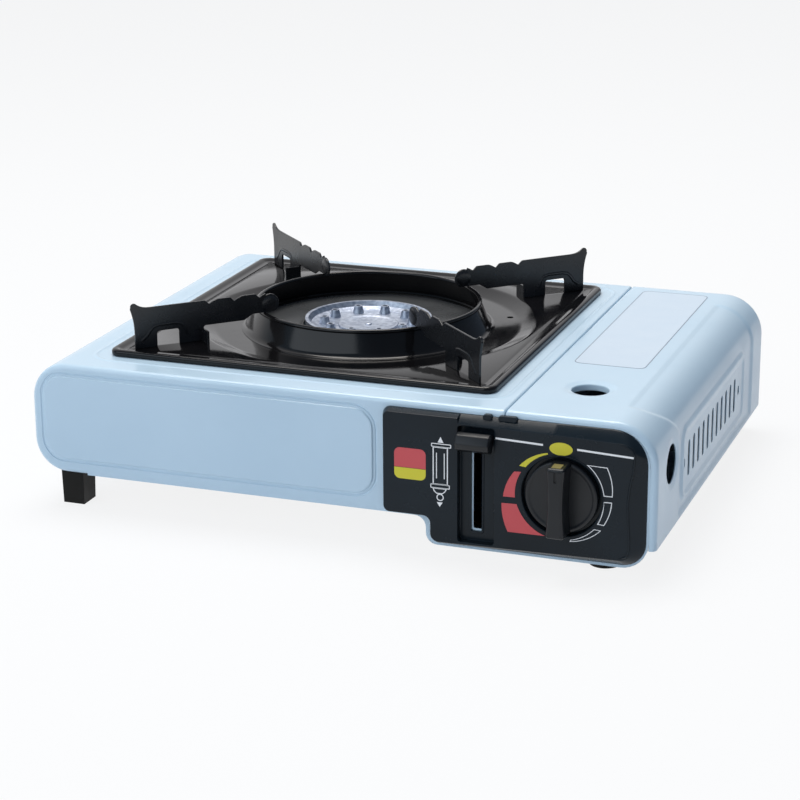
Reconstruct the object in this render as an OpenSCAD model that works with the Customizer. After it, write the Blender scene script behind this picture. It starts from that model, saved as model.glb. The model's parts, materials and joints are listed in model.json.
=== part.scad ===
// Butane cassette stove: one burner, a gas cartridge bay under a hinged lid, a locking lever
// and a lift-off top with four pan supports. Millimetres, +Z up, front face towards -Y.

/* [Case] */
// Width of the case, left to right
case_w = 340; // [320:1:360]
// Depth of the case, front to back
case_d = 252; // [244:1:264]
// Height of the top plate above the table
top_z = 80.7; // [78:0.1:84]
// Height of the case floor under the burner side
floor_high = 20.5; // [18:0.5:22]
// Height of the case floor under the cartridge bay
floor_low = 5.8; // [5:0.1:6.4]
// Thickness of the sheet steel
sheet = 0.8; // [0.6:0.1:1]
// Left edge of the cartridge lid
seam_x = 92.5; // [91:0.5:94]

/* [Cartridge] */
// Diameter of the gas cartridge that the bay takes
cartridge_d = 67; // [66:0.5:68]
// Distance from the docking collar to the base of the cartridge
cartridge_l = 185; // [180:1:188]

/* [Burner and top] */
// Middle of the burner, left to right
burner_x = -27; // [-30:1:-24]
// Middle of the burner, front to back
burner_y = 1.5; // [-2:0.5:4]
// Radius of the burner rim
burner_r = 35.2; // [33:0.1:36]
// Radius of the wind ring at its rolled top
ring_r = 62; // [60:0.5:64]
// Width of the drip tray
tray_w = 217; // [212:1:220]
// Depth of the drip tray
tray_d = 211; // [206:1:214]
// Height of the flat pan rest above the table
rest_z = 105.3; // [103:0.1:108]
// Reach of a pan support from the middle of the burner
support_r = 137.5; // [134:0.5:138]
// Thickness of a pan support
support_t = 1.2; // [1:0.1:1.6]

/* [Controls] */
// Middle of the knob, left to right
knob_x = 123.4; // [122:0.1:125]
// Height of the knob axis
knob_z = 41.4; // [40:0.1:44]
// Radius of the knob's disc
knob_r = 18.5; // [17:0.1:19]
// How far the front panel stands out from the case
panel_proud = 5.5; // [5:0.1:6]
// Length of the lock lever from its pivot to the middle of its grip
lever_l = 52.8; // [52:0.1:54]
// Swing of the lock lever from open to locked, degrees
lever_swing = 54; // [48:1:54]

/* [Hidden] */
$fn = 48;

eps = 0.01;                         // overshoot of a cutter past the face it cuts
gap = 0.4;                          // play between pieces that move past each other
run = 0.05;                         // radial play of a pin in its bore
far = 500;                          // longer than the stove, for half-space cutters

// case
half_w = case_w / 2;
half_d = case_d / 2;
front_y = -half_d;
back_y = half_d;
edge_r = 3;                         // pressed edge between the faces of a drawn shell
corner_top_r = 20;                  // top left corner of the case, seen from the front
corner_low_r = 18;                  // bottom left corner
corner_bay_r = 14;                  // bottom right corner, under the cartridge bay
step_x = 51;                        // where the case steps down to the cartridge bay
step_r = 6;                         // radius of both bends of that step
bay_right = half_w - 4;             // right side of the case, inside the lid wall
flange_x = -139.2;                  // end of the wrapped edge under the left side

knob_reach = 18;                    // from the case front to the front of the knob grip
knob_front = front_y - knob_reach;
frame_y = knob_reach / 2;           // puts the middle of the whole depth at Y = 0

// control panel
panel_front = front_y - panel_proud;
panel_left = 28.5;
panel_right = half_w - 4.8;
panel_top = top_z - 3.5;
panel_low = floor_low + 1.7;
panel_mid = floor_high + 1.1;
panel_step_x = step_x + 2.5;
panel_r = 4;                        // left corners of the panel
panel_top_r = 17.5;
panel_low_r = 12;
panel_step_r = 5;
panel_wall = 1.8;
slope_x = 112;                      // where the face starts to fall towards the top right corner
slope_down = 4.5;                   // angles of that fall, along the top edge and into the panel
slope_back = 40;
clip_spots = [[83, 85], [91, 98]];  // ends of the hooks on the top edge
clip_r = 1.4;
panel_screw_spots = [[36, 68], [36, 30], [60, 16], [152, 66]];
panel_screw_r = 1.5;

// opening under the drip tray, and the ridge round the tray
well_w = 196;                       // opening in the top plate, under the drip tray
well_d = 190;
well_r = 20;
well_lip = 6;                       // drawn-down edge of that opening
ridge_w = tray_w + 17;              // pressed ridge on the top plate, round the tray
ridge_d = tray_d + 19;
ridge_r = 15;
ridge_t = 3.2;
ridge_h = 0.4;

// knob pocket and lever recess
pocket_r = knob_r + 2.4;            // round pocket in the panel that the knob turns in
pocket_back = front_y - 0.6;
pocket_t = 1.5;                     // thickness of the pocket's floor
recess_x = 79;                      // middle of the lever recess
recess_w = 18.2;
recess_low = 11.2;
recess_top = 72.3;
slot_x = 78.2;                      // middle of the lever slot
slot_w = 5.4;
slot_low = 16.2;
slot_top = 66.8;

// lock lever: the swing of its arm, and the slide that its link pin pushes
pivot_y = -86;                      // pivot of the lock lever
pivot_z = 41.5;
lever_t = 1.6;
lever_x = slot_x - lever_t / 2;
lever_rest = lever_swing / 2;       // the lever swings equally above and below level
lever_pin_r = 2.5;
lever_post_x = 71.2;                // upright at the left end of that pin
tang_y = -34;                       // where the lever narrows to the tang in its grip
link_r = 10;                        // from the pivot to the link pin
link_pin_r = 1.5;
link_rest = 90 - lever_rest;
link_y = pivot_y + link_r * cos(link_rest);
link_z = pivot_z + link_r * sin(link_rest);
pusher_travel = 2 * link_r * cos(link_rest);

// lid and its hinge
partition_x = 89.5;                 // sheet between the burner side and the cartridge bay
hinge_y = back_y - 5;               // lid hinge axis
hinge_z = top_z - 4.7;
hinge_pin_r = 1.6;
hinge_head_r = 2.6;
hinge_ear_r = 3.7;                  // round ends of the ears that the pins pass through
hinge_ear_x = 146.4;                // right ear
bracket_x = 145.2;                  // upright of the lid bracket, beside that ear
lid_left = seam_x + 0.4;
lid_low = 16;                       // lower edge of the lid's side wall
lid_r = 22;                         // top right corner of the lid
lid_back_lip = hinge_z - 14;        // lower edge of the lid's rear lip
lid_lip = 3.6;                      // width of the lips that close the lid's ends
crease_x = 148;                     // pressed step along the lid
shoulder_l = 99;                    // half the length of the sunk shoulder to its right
shoulder_h = 0.75;                  // how deep that shoulder is sunk
side_panel = [-72, 22, 80, 62];     // raised field on the lid's side: Y and Z of its corners
side_panel_r = 9;
lid_hole = [122.2, -76.5];          // finger hole in the lid's top: X and Y
side_hole = [-94.8, 51.5];          // and in its side: Y and Z
finger_hole_r = 10;
slot_count = 11;                    // louvre slots in the lid's side
slot_pitch = 11;
louvre_w = 2.6;
louvre_z = [32.6, 51.3];            // lower and upper end of a louvre slot
end_slot_y = 65.5;                  // short slots beyond the louvres, either way
end_slot_z = [39.8, 44.2];

// gas cartridge and the collar that it docks in
cartridge_x = 126.5;
cartridge_z = 42.5;
dock_y = -91;                       // face that the cartridge collar meets

// lift-off top
plate_z = top_z + 1.6;              // underside of the flat of the drip tray
dish_r = 94;                        // round depression in the drip tray
dish_floor_r = 84;
dish_z = 78.8;                      // underside of its floor
tray_hole_r = burner_r + 1.6;
tray_r = 10;
bead_r = 1.6;                       // rolled edge of the tray
tray_hole = [72, 44.5];             // drain hole, from the middle of the burner
ring_low = dish_z + sheet;
ring_top = 94.3;
support_foot = plate_z + sheet;
notches = [94, 79.5, 65];           // pot notches in a pan support, from the middle of the burner
notch_w = 10;
notch_h = 2.6;

// burner
burner_top = 84;
burner_floor = 79.4;
burner_neck_r = 22;
boss_count = 10;                    // cone bosses with the flame ports
boss_ring_r = 24.5;
boss_from = 88;                     // angle of the first of them
head_low = 48;                      // underside of the casting

// feet and floor
tall_foot = [-152.8, 110.5];        // middle of a left foot: X, and Y either way
short_foot = [140, 108];
foot_screw_r = 1.6;
side_wall_top = 30;                 // top of the floor's turned-up side by the bay
field = [-165, floor_high + 6, 25, top_z - 4.2];    // pressed field on the front: X and Z
field_r = 13;
emboss = 0.7;                       // how far that field stands out

// knob
spindle_r = 3;
knob_back = pocket_back - pocket_t - gap;
disc_h = 4.4;                       // thickness of the knob's disc
grip_w = 10;
grip_l = 18.6;                      // half the length of the grip
waist_r = 110;
waist_w = 8.2;                      // width of the grip at its waist
grip_h = knob_back - disc_h - knob_front;

// gas train
plate_t = 1.2;                      // thickness of the inner brackets
regulator_front = front_y + 10;
regulator_r = 14;
bracket_y = dock_y - 5;
bracket_t = plate_t;
bracket_left = 93.4;
bracket_right = 151;
bracket_top = 66;
seal_r = 6;
stem_r = 2;                         // hole for the cartridge's valve stem
collar_r = 16.6;
collar_wall_r = 21;
tube_y = -106;
tube_z = 63;
tube_r = 2.5;
mixing_r = 9.5;
mouth_x = 56;                       // open end of the mixing tube
mouth_y = -92;
mixing_a = atan2(burner_y - mouth_y, burner_x - mouth_x);
mixing_end = 14;                    // gap from the burner's middle to the end of the tube
mixing_l = norm([burner_x - mouth_x, burner_y - mouth_y]) - mixing_end;
elbow_t = (mouth_y - tube_y) / sin(mixing_a);
elbow_x = mouth_x - elbow_t * cos(mixing_a);
electrode_x = 14;                   // from the middle of the burner
electrode_y = -38.5;
electrode_r = 3;
electrode_top = 79.5;
lead_y = -108;
lead_z = 22;
lead_route = [[98, -108, 43.5], [95, -108, 43.5], [93, -108, 38], [92.4, -108, 30], [91.5, -108, 24],
              [89.5, -108, 22], [84, -107, 21], [78, -105, 20.5], [70, -101, 21], [60, -90, 24],
              [50, -76, 25.5], [36, -62, 25.5], [18, -50, 25.5], [2, -41, 26], [-9, -37.4, 28],
              [-12.6, -37, 31.5], [-13, -37, 35], [-13, -37, 40]];
rivet_z = 55;
rivet_spots = [-40, 60];
rivet_r = 1.8;
pusher_x = partition_x + 0.8;
pusher_t = 1.2;
push_y = dock_y + cartridge_l + pusher_travel;      // face that pushes the cartridge's base

// ---- placing ----

module along_y(y0, y1) {
    translate([0, y1, 0]) rotate([90, 0, 0]) linear_extrude(y1 - y0) children();
}

module along_x(x0, x1) {
    translate([x0, 0, 0]) rotate([90, 0, 90]) linear_extrude(x1 - x0) children();
}

// a cylinder along X, from x0 to x1, at (y, z)
module rod_x(x0, x1, y, z, r) {
    translate([x0, y, z]) rotate([0, 90, 0]) cylinder(r = r, h = x1 - x0);
}

// a cylinder along Y, from y0 to y1, at (x, z)
module rod_y(y0, y1, x, z, r) {
    translate([x, y1, z]) rotate([90, 0, 0]) cylinder(r = r, h = y1 - y0);
}

module block(a, b) {
    translate(a) cube(b - a);
}

// puts a piece that is drawn about the case's middle into the frame of the whole stove
module placed() {
    translate([0, frame_y, 0]) children();
}

// ---- outlines ----

module rounded(x0, y0, x1, y1, r) {
    translate([x0 + r, y0]) square([x1 - x0 - 2 * r, y1 - y0]);
    translate([x0, y0 + r]) square([x1 - x0, y1 - y0 - 2 * r]);
    for (x = [x0 + r, x1 - r], y = [y0 + r, y1 - r])
        translate([x, y]) circle(r);
}

// what rounding one corner of a rectangle takes off; sx and sy point out of the corner
module corner_cut(x, y, sx, sy, r) {
    difference() {
        translate([x - (sx > 0 ? r : eps), y - (sy > 0 ? r : eps)]) square(r + eps);
        translate([x - sx * r, y - sy * r]) circle(r);
    }
}

// the space under the case: the step up to the burner side and the corner by the bay
module under_case() {
    difference() {
        translate([flange_x, floor_low - far]) square([step_x - flange_x, far + floor_high - floor_low]);
        corner_cut(step_x, floor_high, 1, 1, step_r);
    }
    corner_cut(step_x, floor_low, -1, -1, step_r);
    corner_cut(bay_right, floor_low, 1, -1, corner_bay_r);
}

// section of a drawn shell across its depth, with the pressed edges at the top
module shell_section(low, i, r) {
    difference() {
        translate([front_y + i, low]) square([case_d - 2 * i, top_z - i - low]);
        for (s = [-1, 1]) corner_cut(s * (half_d - i), top_z - i, s, 1, r);
    }
}

// a pressed corner between two sides, turned about the depth of the shell
module shell_corner(x, z, radius, i, r, from) {
    translate([x, 0, z]) rotate([90, 0, 0]) rotate([0, 0, from])
        rotate_extrude(angle = 90) difference() {
            translate([0, front_y + i]) square([radius - i, case_d - 2 * i]);
            for (s = [-1, 1]) corner_cut(radius - i, s * (half_d - i), 1, s, r);
        }
}

// the case as a solid with its pressed edges, drawn in by i
module case_block(i) {
    r = edge_r - i;
    mid_z = 50;
    low_x = -half_w + corner_low_r;
    top_x = -half_w + corner_top_r;
    along_x(top_x, bay_right) shell_section(mid_z, i, r);
    along_x(flange_x, bay_right) translate([front_y + i, floor_low - 1])
        square([case_d - 2 * i, mid_z - floor_low + 1]);
    along_x(low_x, flange_x) difference() {
        translate([front_y + i, floor_high + i]) square([case_d - 2 * i, mid_z - floor_high - i]);
        for (s = [-1, 1]) corner_cut(s * (half_d - i), floor_high + i, s, -1, r);
    }
    translate([0, 0, floor_high + corner_low_r])
        linear_extrude(top_z - corner_top_r - floor_high - corner_low_r) difference() {
            translate([-half_w + i, front_y + i]) square([corner_top_r - i + 1, case_d - 2 * i]);
            for (s = [-1, 1]) corner_cut(-half_w + i, s * (half_d - i), -1, s, r);
        }
    shell_corner(top_x, top_z - corner_top_r, corner_top_r, i, r, 90);
    shell_corner(low_x, floor_high + corner_low_r, corner_low_r, i, r, 180);
}

// ---- case ----

// the pressed field on the front, drawn in by i and reaching back to y1
module front_field(y1, i) {
    along_y(front_y - emboss + i, y1)
        rounded(field[0] + i, field[1] + i, field[2] - i, field[3] - i, field_r - i);
}

// the drawn shell: pressed field, folded edge at the seam, and the openings
module top_case() color("lightsteelblue") difference() {
    union() {
        case_block(0);
        front_field(front_y + 1, 0);
        tray_ridge();
    }
    difference() {
        case_block(sheet);
        block([seam_x - sheet - gap, front_y, top_z - 14], [seam_x - gap, back_y, top_z]);
        well_wall(sheet, 0);
    }
    front_field(front_y + 2, sheet);
    block([seam_x - gap, -half_d - 1, panel_top - 0.6], [half_w, half_d - 5, top_z + 1]);
    block([seam_x - gap, 0, lid_back_lip - 0.6], [half_w, half_d + 1, top_z + 1]);
    along_y(-far, far) under_case();
    block([flange_x, -half_d - 1, 0], [half_w, half_d + 1, floor_low]);
    along_y(-half_d - 1, -half_d + 4) corner_cut(bay_right, panel_top - 0.6, 1, 1, 18);
    well_wall(0, 10);
    along_y(front_y - 1, front_y + 2) rounded(slot_x - 1.2, slot_low + 1, slot_x + 4.4, slot_top + 3, 1);
    rod_y(front_y - 1, front_y + 2, knob_x, knob_z, 12);
    rod_x(seam_x - 2, seam_x, hinge_y, hinge_z, hinge_pin_r);
    for (p = panel_screw_spots) rod_y(front_y - 1, front_y + 2, p[0], p[1], panel_screw_r);
}

// a low pressed ridge round the drip tray
module tray_ridge() {
    translate([burner_x, burner_y, top_z - sheet / 2]) linear_extrude(sheet / 2 + ridge_h) difference() {
        rounded(-ridge_w / 2, -ridge_d / 2, ridge_w / 2, ridge_d / 2, ridge_r);
        rounded(-ridge_w / 2 + ridge_t, -ridge_d / 2 + ridge_t, ridge_w / 2 - ridge_t,
                ridge_d / 2 - ridge_t, ridge_r - ridge_t);
    }
}

// the drawn-down edge of the opening under the drip tray; grow widens it
module well_wall(grow, more) {
    translate([burner_x, burner_y, top_z - well_lip - more]) linear_extrude(well_lip + 2 * more)
        rounded(-well_w / 2 - grow, -well_d / 2 - grow, well_w / 2 + grow, well_d / 2 + grow,
                well_r + grow);
}

// a row of air slots in the floor
module floor_slots(x0, x1, y0, z, count, pitch) {
    for (n = [0:count - 1]) translate([0, 0, z - 2]) linear_extrude(6)
        rounded(x0, y0 + n * pitch, x1, y0 + n * pitch + 5, 2.4);
}

// the floor: it steps up to the burner side and turns up beside the bay
module base_tray() color("silver") difference() {
    along_y(-half_d + sheet, half_d - sheet) difference() {
        translate([flange_x + 0.2, floor_low])
            square([bay_right - flange_x - 0.2, side_wall_top - floor_low]);
        under_case();
        difference() {
            translate([flange_x, floor_low + sheet])
                square([bay_right - sheet - flange_x, side_wall_top]);
            base_space_edge();
        }
    }
    floor_slots(-120, -70, -60, floor_high, 5, 28);
    floor_slots(16, 40, -60, floor_high, 5, 28);
    floor_slots(100, 152, -40, floor_low, 3, 14);
    for (s = [-1, 1]) {
        translate([short_foot[0], s * short_foot[1], 0]) cylinder(r = foot_screw_r, h = 20);
        block([-130, s * 118 - 2, 0], [-126, s * 118 + 2, 30]);
    }
}

// the sheet itself, below the space of the case floor
module base_space_edge() {
    difference() {
        translate([flange_x - 1, floor_low - 1])
            square([step_x + sheet - flange_x + 1, floor_high + sheet - floor_low + 1]);
        corner_cut(step_x + sheet, floor_high + sheet, 1, 1, step_r + sheet);
    }
    corner_cut(step_x + sheet, floor_low + sheet, -1, -1, step_r - sheet);
    corner_cut(bay_right - sheet, floor_low + sheet, 1, -1, corner_bay_r - sheet);
}

module partition_plate() color("silver") difference() {
    intersection() {
        block([partition_x - sheet / 2, -half_d, floor_low + sheet],
              [partition_x + sheet / 2, half_d, top_z]);
        case_block(sheet);
    }
    rod_x(partition_x - 2, partition_x + 2, tube_y, tube_z, 4);
    rod_x(partition_x - 2, partition_x + 2, pivot_y, pivot_z, lever_pin_r);
    rod_x(partition_x - 2, partition_x + 2, lead_y, lead_z, 3);
    block([partition_x - 2, link_y - pusher_travel - 3, link_z - 3],
          [partition_x + 2, link_y + 3, link_z + 4.2]);
    for (y = rivet_spots) rod_x(partition_x - 2, partition_x + 2, y, rivet_z, rivet_r);
}

module lid_bracket() color("silver") difference() {
    union() {
        block([136, half_d - 1.6, 44], [146, half_d - sheet, 60]);
        block([bracket_x, hinge_y - 6, 50], [bracket_x + 0.8, half_d - sheet, 58]);
        block([bracket_x, hinge_y - hinge_ear_r, 50], [bracket_x + 0.8, hinge_y + 1.6, hinge_z]);
        rod_x(bracket_x, bracket_x + 0.8, hinge_y, hinge_z, hinge_ear_r);
    }
    rod_x(bracket_x - 1, bracket_x + 3, hinge_y, hinge_z, hinge_pin_r);
}

module lid_hinge_pins() color("gray") {
    hinge_pin(seam_x - sheet - gap, lid_left + 2);
    hinge_pin(bracket_x, bracket_x + 2.8);
}

// a pin from x0 to x1 with its head at x1
module hinge_pin(x0, x1) {
    rod_x(x0, x1, hinge_y, hinge_z, hinge_pin_r);
    rod_x(x1, x1 + 0.8, hinge_y, hinge_z, hinge_head_r);
}

// a left foot's tapered column, wider at its top
module foot_column(y) {
    translate([tall_foot[0], y, 0]) hull() {
        translate([-6.1, -6.6, 0]) cube([12.2, 13.2, 0.01]);
        translate([-6.5, -7, floor_high - 0.01]) cube([13, 14, 0.01]);
    }
}

// a left foot: its top follows the rounded corner of the case
module tall_foot_at(y) color("black") difference() {
    union() {
        foot_column(y);
        block([tall_foot[0] - 6.5, y - 7, floor_high - 0.01], [tall_foot[0] + 6.5, y + 7, floor_high + 3]);
    }
    block([-half_w + corner_low_r, y - 9, floor_high], [0, y + 9, floor_high + 9]);
    rod_y(y - 9, y + 9, -half_w + corner_low_r, floor_high + corner_low_r, corner_low_r);
    translate([tall_foot[0] + 0.6, y, -1]) cylinder(r = 3.2, h = 15);
}

module short_foot_at(y) color("black") difference() {
    translate([short_foot[0], y, 0]) cylinder(r = 8, h = floor_low);
    translate([short_foot[0], y, -1]) cylinder(r = 3.4, h = 4.2);
    translate([short_foot[0], y, 0]) cylinder(r = foot_screw_r, h = 20);
}

module foot_front_left() tall_foot_at(-tall_foot[1]);
module foot_rear_left() tall_foot_at(tall_foot[1]);
module foot_front_right() short_foot_at(-short_foot[1]);
module foot_rear_right() short_foot_at(short_foot[1]);

module base_screws() color("gray") for (s = [-1, 1]) {
    translate([short_foot[0], s * short_foot[1], 3.2]) cylinder(r = foot_screw_r, h = 6);
    translate([short_foot[0], s * short_foot[1], 1.4]) cylinder(r = 3, h = 1.8);
    translate([tall_foot[0] + 0.6, s * tall_foot[1], 12.2]) cylinder(r = 2.8, h = 1.8);
}

// ---- control panel ----

// the panel from the front; it steps down beside the lever, as the case does
module panel_outline(x0, x1, z1, mid, low, r_top, r_low) {
    difference() {
        union() {
            translate([x0, mid]) square([x1 - x0, z1 - mid]);
            translate([panel_step_x, low]) square([x1 - panel_step_x, z1 - low]);
        }
        corner_cut(x0, z1, -1, 1, panel_r);
        corner_cut(x0, mid, -1, -1, panel_r);
        corner_cut(x1, z1, 1, 1, r_top);
        corner_cut(x1, low, 1, -1, r_low);
        corner_cut(panel_step_x, low, -1, -1, panel_step_r);
    }
    corner_cut(panel_step_x, mid, 1, 1, panel_r);
}

// the sloped edges of the moulding, seen from the end and from above
module panel_bevels() {
    along_x(panel_left - 5, panel_right + 5) polygon([
        [front_y, panel_low], [panel_front, panel_low + 2.2], [panel_front, panel_top - 1.2],
        [front_y, panel_top]]);
}

// its space from above, with sloped ends, drawn in by i
module panel_sides(i) {
    translate([0, 0, panel_low - 5]) linear_extrude(panel_top - panel_low + 10) polygon([
        [panel_left + i, front_y + 1], [panel_left + i, front_y], [panel_left + 1.8 + i, panel_front + i],
        [panel_right - 7 - i, panel_front + i], [panel_right - i, front_y], [panel_right - i, front_y + 1]]);
}

// the face falls away towards the top right corner
module panel_slope() {
    difference() {
        block([panel_left - 1, panel_front - 1, 0], [panel_right + 1, front_y + 1, top_z]);
        translate([slope_x, panel_front, panel_top - 1.2]) rotate([slope_back, slope_down, 0])
            translate([0, -10, 0]) cube([80, 20, 10]);
    }
}

// two hooks on the top edge that hold the panel to the case
module panel_clips() {
    for (c = clip_spots) along_y(panel_front + 2.6, front_y - gap) hull() {
        translate([c[0], panel_top]) circle(clip_r, $fn = 24);
        translate([c[1], panel_top]) circle(clip_r, $fn = 24);
    }
}

module control_panel() color("#15171c") difference() {
    union() {
        panel_clips();
        difference() {
            intersection() {
                along_y(panel_front, front_y)
                    panel_outline(panel_left, panel_right, panel_top, panel_mid, panel_low,
                                  panel_top_r, panel_low_r);
                panel_bevels();
                panel_sides(0);
                panel_slope();
            }
            intersection() {
                along_y(panel_front + panel_wall, front_y + 1)
                    panel_outline(panel_left + 2, panel_right - 2, panel_top - 2, panel_mid + 2,
                                  panel_low + 2, panel_top_r - 2, panel_low_r - 2);
                panel_sides(panel_wall);
            }
        }
        block([recess_x - recess_w / 2 - 1.5, panel_front + 1, recess_low - 1.5],
              [recess_x + recess_w / 2 + 1.5, front_y, recess_top + 1.5]);
        rod_y(panel_front + 1, pocket_back, knob_x, knob_z, pocket_r + 1.4);
        for (p = panel_screw_spots) rod_y(panel_front + 1, front_y, p[0], p[1], 3.5);
    }
    along_y(panel_front - 1, front_y - 1)
        rounded(recess_x - recess_w / 2, recess_low, recess_x + recess_w / 2, recess_top, 1.5);
    along_y(panel_front - 1, front_y + 1)
        rounded(slot_x - slot_w / 2, slot_low, slot_x + slot_w / 2, slot_top, 0.8);
    rod_y(panel_front - 1, pocket_back - pocket_t, knob_x, knob_z, pocket_r);
    rod_y(panel_front - 1, front_y + 1, knob_x, knob_z, 5.4);
    for (p = panel_screw_spots) rod_y(front_y - 3, front_y + 1, p[0], p[1], panel_screw_r);
}

module panel_screws() color("gray") for (p = panel_screw_spots) {
    rod_y(front_y - 2.8, front_y + sheet, p[0], p[1], panel_screw_r);
    rod_y(front_y + sheet, front_y + sheet + 2, p[0], p[1], 3);
}

// ---- gas train ----

// the casting: spindle neck, riser to the gas tube and the seat of the diaphragm
module regulator_body() color("silver") difference() {
    union() {
        rod_y(regulator_front, bracket_y, knob_x, knob_z, regulator_r);
        rod_y(front_y + 4.4, regulator_front, knob_x, knob_z, 7);
        translate([knob_x, tube_y, knob_z]) cylinder(r = 5, h = tube_z - knob_z + 5);
        rod_x(knob_x + 4, knob_x + 16, tube_y, knob_z, 9);
        block([108, -112, 38], [114, -100, 48]);
    }
    rod_y(front_y, regulator_front + 6, knob_x, knob_z, spindle_r + run);
    rod_x(knob_x - 8, knob_x, tube_y, tube_z, tube_r);
    rod_y(bracket_y - 8, bracket_y + 1, cartridge_x, cartridge_z, stem_r);
}

module diaphragm_cover() color("silver")
    translate([knob_x + 16, tube_y, knob_z]) rotate([0, 90, 0]) rotate_extrude() polygon([
        [0, 0], [9.7, 0], [9.7, 2.4], [8.6, 3.2], [7, 6.6], [3, 7.2], [0, 7.2]]);

// an upright plate with a foot on the floor and a tab on the partition
module regulator_bracket() color("silver") difference() {
    union() {
        block([bracket_left, bracket_y, floor_low + sheet],
              [bracket_right, bracket_y + bracket_t, bracket_top]);
        block([bracket_left, bracket_y - 9, floor_low + sheet],
              [bracket_right, bracket_y + bracket_t, floor_low + sheet + bracket_t]);
        block([partition_x + sheet / 2, bracket_y - 9, 24],
              [partition_x + sheet / 2 + bracket_t, bracket_y + bracket_t, 38]);
        block([partition_x + sheet / 2, bracket_y, 24],
              [bracket_left + 0.6, bracket_y + bracket_t, 38]);
    }
    rod_y(bracket_y - 2, bracket_y + 4, cartridge_x, cartridge_z, seal_r);
    along_y(bracket_y - 1, bracket_y + 3) corner_cut(bracket_right, bracket_top, 1, 1, 10);
}

// the collar that takes the neck of the cartridge, with the slot that sets its turn
module docking_collar() color("silver")
    translate([cartridge_x, bracket_y + bracket_t, cartridge_z]) rotate([-90, 0, 0]) difference() {
        cylinder(r = collar_wall_r, h = dock_y - bracket_y - bracket_t);
        translate([0, 0, -1]) cylinder(r = collar_r, h = 20);
        translate([-2.2, 12, -1]) cube([4.4, 12, 20]);
    }

// the seal lies flush in the bracket, at the bottom of the collar
module nozzle_seal() color("#222222") difference() {
    rod_y(bracket_y, bracket_y + bracket_t, cartridge_x, cartridge_z, seal_r);
    rod_y(bracket_y - 1, bracket_y + 3, cartridge_x, cartridge_z, stem_r);
}

module gas_tube() color("silver") rod_x(elbow_x + 7, knob_x, tube_y, tube_z, tube_r);

// a piece along the mixing tube's line; t runs from the tube's mouth to the burner
module along_mixing(t0, t1, r) {
    translate([mouth_x, mouth_y, tube_z]) rotate([0, 0, mixing_a])
        translate([t0, 0, 0]) rotate([0, 90, 0]) cylinder(r = r, h = t1 - t0);
}

module jet_holder() color("goldenrod") difference() {
    union() {
        along_mixing(-elbow_t, 6, 4);
        along_mixing(-11, -5, 5.4);
        translate([elbow_x, tube_y, tube_z - 4.6]) cylinder(r = 4.6, h = 9.2);
        rod_x(elbow_x, elbow_x + 9, tube_y, tube_z, 3.8);
    }
    rod_x(elbow_x + 7, elbow_x + 10, tube_y, tube_z, tube_r);
}

// gas and air meet in this tube; the slots round its mouth let the air in
module mixing_tube() color("silver") difference() {
    union() {
        along_mixing(0, mixing_l, mixing_r);
        along_mixing(0, 3, mixing_r + 1.5);
    }
    along_mixing(1.2, mixing_l + 1, mixing_r - 1.2);
    along_mixing(-1, 2, 4);
    translate([mouth_x, mouth_y, tube_z]) rotate([0, 0, mixing_a])
        for (a = [0:90:270]) rotate([a, 0, 0]) translate([7, -3, 5]) cube([14, 6, 10]);
}

// puts its children at each of the cone bosses
module at_bosses() {
    for (n = [0:boss_count - 1]) rotate([0, 0, boss_from + n * 360 / boss_count])
        translate([boss_ring_r, 0, 0]) children();
}

module burner_head() color("silver") translate([burner_x, burner_y, 0]) difference() {
    union() {
        rotate_extrude() polygon([
            [0, head_low], [burner_neck_r - 2, head_low], [burner_neck_r, head_low + 2],
            [burner_neck_r, 72], [31, 80], [burner_r, 81], [burner_r, burner_top],
            [burner_r - 1.8, burner_top], [burner_r - 3.4, 81.4], [28, 80.2],
            [19, burner_floor], [0, burner_floor]]);
        translate([0, 0, tube_z]) rotate([0, 0, mixing_a]) rotate([0, -90, 0])
            cylinder(r = mixing_r + 1.9, h = burner_neck_r + 5);
        at_bosses() translate([0, 0, burner_floor - 0.4]) cylinder(r1 = 3.4, r2 = 2.2, h = 5, $fn = 24);
    }
    translate([0, 0, tube_z]) rotate([0, 0, mixing_a]) translate([-mixing_end, 0, 0])
        rotate([0, -90, 0]) cylinder(r = mixing_r, h = 20);
    at_bosses() translate([0, 0, burner_floor + 1.2]) cylinder(r = 1.3, h = 6);
}

// the pressed cap in the middle, with flame slots round its edge
module burner_cap() color("gray") translate([burner_x, burner_y, burner_floor]) difference() {
    rotate_extrude() polygon([
        [0, 0], [17.8, 0], [17.8, 2.6], [16.6, 3.4], [14.6, 3.4], [13.6, 2.2], [0, 1.8]]);
    for (a = [0:20:340]) rotate([0, 0, a]) translate([14.9, -0.5, 1.2]) cube([5, 1, 1.2]);
}

// a bridge on two legs under the casting, with an arm for the electrode
module burner_bracket() color("silver") translate([burner_x, burner_y, 0]) difference() {
    union() {
        block([-30, -14, head_low - plate_t], [30, 14, head_low]);
        for (s = [-1, 1]) {
            block([s * 29.4 - 0.6, -14, floor_high + sheet], [s * 29.4 + 0.6, 14, head_low]);
            block([s * 35 - 6, -14, floor_high + sheet], [s * 35 + 6, 14, floor_high + sheet + plate_t]);
        }
        block([electrode_x - 7, electrode_y - 6, head_low - plate_t], [electrode_x + 7, 0, head_low]);
    }
    cylinder(r = 6, h = 100);
    translate([electrode_x, electrode_y, head_low - 2]) cylinder(r = electrode_r, h = 4);
}

module electrode() color("white") translate([burner_x + electrode_x, burner_y + electrode_y, 0]) {
    translate([0, 0, head_low - 8]) cylinder(r = electrode_r, h = electrode_top - head_low + 8);
    translate([0, 0, head_low]) cylinder(r = electrode_r + 1, h = 5);
}

module electrode_wire() color("silver")
    translate([burner_x + electrode_x, burner_y + electrode_y, electrode_top]) {
        cylinder(r = 0.8, h = 4.4);
        translate([0, 0, 4.4]) sphere(r = 0.8);
    }

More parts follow.
